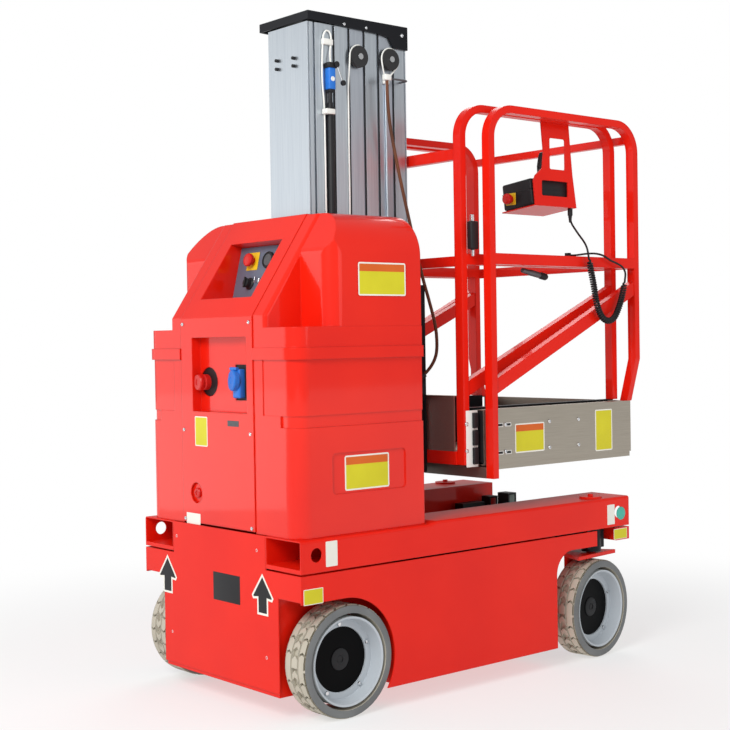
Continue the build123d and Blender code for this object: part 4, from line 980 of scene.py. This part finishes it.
plateSettings = {
    "rear": ((-66, -40, 0), (66, 40, 1.4), 0.6),
    "rearPlace": (-674, -42, 333),
    "disc": ((17, 0), (21, 0.4), (21, 2.6), (19, 3.4), (5, 3.6)),
    "discPlace": (635, -386, 451),
    "sign": (66, 34),
    "signInset": 44,  # from the crossmember's front end to the sign's middle
}
buildPieces(plateSettings, (
    ("rearPlate", "chassis", black, "rear", None, toRear(plateSettings["rearPlace"])),
    ("tieHoleDisc", "chassis", (None, tealGlass), "disc", 36, toRight(plateSettings["discPlace"])),
))
crossLow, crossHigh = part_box("front_crossmember")
signPlace = (crossHigh[0] / mm - chassisMiddleX - plateSettings["signInset"], crossLow[1] / mm,
             (crossLow[2] + crossHigh[2]) / 2 / mm)
addSign("crossmemberSign", signPlace, (0, -1, 0), *plateSettings["sign"], "chassis",
        signWhite, signYellow, None)
print("chassis dressed")


# Platform details: guide pads, slots, latch and its handle

guideSettings = {
    "plate": ((-6, -333, 642), (42, -330.3, 811), 1),
    "padX": (18, 38),
    "padY": (-341, -332.5),
    "pads": ((650, 700), (706, 752), (758, 804)),
    "slots": ((119, 763), (154, 763), (119, 679), (154, 679)),
    # half length, half height, Y of the outer and the inner face, edge
    "slotRim": (13, 6, -351.4, -349.8, 0.7),
    "slotShade": (10, 3.6, -352, -350, 0.8),
    "latch": ((8, -352, 1290), (40, -331, 1374), 5),
    "pin": ((7, -10), (7, 8), (5, 10)),
    "pinPlaces": ((25, -338, 1280), (25, -338, 1384)),
}
buildPieces(guideSettings, (
    ("guidePlate", "platform", white, "plate", None, chassisShift),
))
for number, height in enumerate(guideSettings["pads"]):
    pad = shapeBlock(*zip(guideSettings["padX"], guideSettings["padY"], height), 2)
    finishPiece(pad, f"guidePad_{number}", "platform", *black, chassisShift)
# the dark block inside each slot's white rim is painted shade in the opening
for number, (x, z) in enumerate(guideSettings["slots"]):
    for name, look in (("slotRim", white), ("slotShade", black)):
        halfLength, halfHeight, outer, inner, edge = guideSettings[name]
        block = shapeBlock((x - halfLength, outer, z - halfHeight),
                           (x + halfLength, inner, z + halfHeight), edge)
        finishPiece(block, f"{name}_{number}", "extension", *look, chassisShift)
buildPieces(guideSettings, (
    ("guardLatch", "platform", black, "latch", None, chassisShift),
    *((f"guardLatchPin_{number}", "platform", chrome, "pin", 20, upright(place))
      for number, place in enumerate(guideSettings["pinPlaces"])),
))
gripSettings = {
    "line": ((262, -316, 1234), (372, -317, 1214)),
    "handle": ((7, 0), (8, 4), (8, 30), (9.5, 36), (9.5, 74), (8, 80)),
    "tip": ((9, 79), (11, 84), (11, 106), (8, 111), (4, 112)),
}
start, end = (Vector(place) for place in gripSettings["line"])
gripTurn = facing(at(*start), end - start, (0, 1, 0))
buildPieces(gripSettings, (
    ("latchHandle", "platform", ("dark_steel", darkCasting), "handle", 24, gripTurn),
    ("latchHandleTip", "platform", black, "tip", 24, gripTurn),
))
print("platform dressed")


# Studio: pale floor, white surroundings and soft lamps

studioSettings = {
    "floorHalf": 20,
    "floorColor": "#F4F4F4",
    "floorRoughness": 0.9,
    # from the first radius to the second, the floor turns from this much glow to the plain white beyond
    "glowRadii": (1.1, 2.6),
    "glow": 0.55,
    "surroundings": 0.5,
    "reflected": 0.45,
    "aim": (0, 0, 0.9),
    "key": {"place": (-3.6, -1.6, 3.0), "size": 2.0, "power": 115},
    "fill": {"place": (0.8, -4.2, 2.4), "size": 3.0, "power": 22},
    "back": {"place": (2.6, 2.4, 3.6), "size": 2.4, "power": 40},
    "sheen": {"place": (-3.2, 3.4, 1.6), "size": 3.4, "power": 27},
}


def buildStudio(settings):
    world = bpy.context.scene.world or bpy.data.worlds.new("studioWorld")
    bpy.context.scene.world = world
    world.use_nodes = True
    tree = world.node_tree
    tree.nodes.clear()
    path = addNode(tree, "LightPath")
    seen = addNode(tree, "Math", {"operation": "MAXIMUM"}, _0=path.outputs["Is Camera Ray"],
                   _1=path.outputs["Is Transmission Ray"])
    mirrored = addNode(tree, "MapRange", None, Value=path.outputs["Is Glossy Ray"],
                       To_Min=settings["surroundings"], To_Max=settings["reflected"])
    strength = addNode(tree, "Math", {"operation": "MAXIMUM"}, _0=seen.outputs[0], _1=mirrored.outputs[0])
    light = addNode(tree, "Background", None, Color=hexColor("#FFFFFF"), Strength=strength.outputs[0])
    output = addNode(tree, "OutputWorld")
    tree.links.new(light.outputs[0], output.inputs[0])
    for name in ("key", "fill", "back", "sheen"):
        lamp = settings[name]
        data = bpy.data.lights.new(name + "Lamp", "AREA")
        data.shape = "DISK"
        data.size = lamp["size"]
        data.energy = lamp["power"]
        holder = bpy.data.objects.new(name + "Lamp", data)
        bpy.context.scene.collection.objects.link(holder)
        place = Vector(lamp["place"])
        toObject = Vector(settings["aim"]) - place
        holder.matrix_world = Matrix.Translation(place) @ toObject.to_track_quat("-Z", "Y").to_matrix().to_4x4()
    bpy.ops.object.select_all(action="DESELECT")
    bpy.ops.mesh.primitive_plane_add(size=2 * settings["floorHalf"], location=(0, 0, 0))
    floor = bpy.context.object
    floor.name = "studioFloor"
    # Matt pale floor near the object; further out it turns to the plain white of the surroundings
    material, tree, shader = startMaterial("paleFloor", Base_Color=hexColor(settings["floorColor"]),
                                           Roughness=settings["floorRoughness"])
    coords = addNode(tree, "TexCoord").outputs["Object"]
    distance = addNode(tree, "VectorMath", {"operation": "LENGTH"}, _0=coords)
    near, away = settings["glowRadii"]
    far = addNode(tree, "MapRange", {"interpolation_type": "SMOOTHSTEP"}, Value=distance.outputs["Value"],
                  From_Min=near, From_Max=away, To_Min=settings["glow"], To_Max=1.0)
    white = addNode(tree, "Emission", None, Color=hexColor("#FFFFFF"), Strength=1.0)
    mix = addNode(tree, "MixShader", None, Fac=far.outputs[0])
    tree.links.new(shader.outputs[0], mix.inputs[1])
    tree.links.new(white.outputs[0], mix.inputs[2])
    tree.links.new(mix.outputs[0], tree.nodes["Material Output"].inputs[0])
    floor.data.materials.append(material)


buildStudio(studioSettings)
print("studio built")
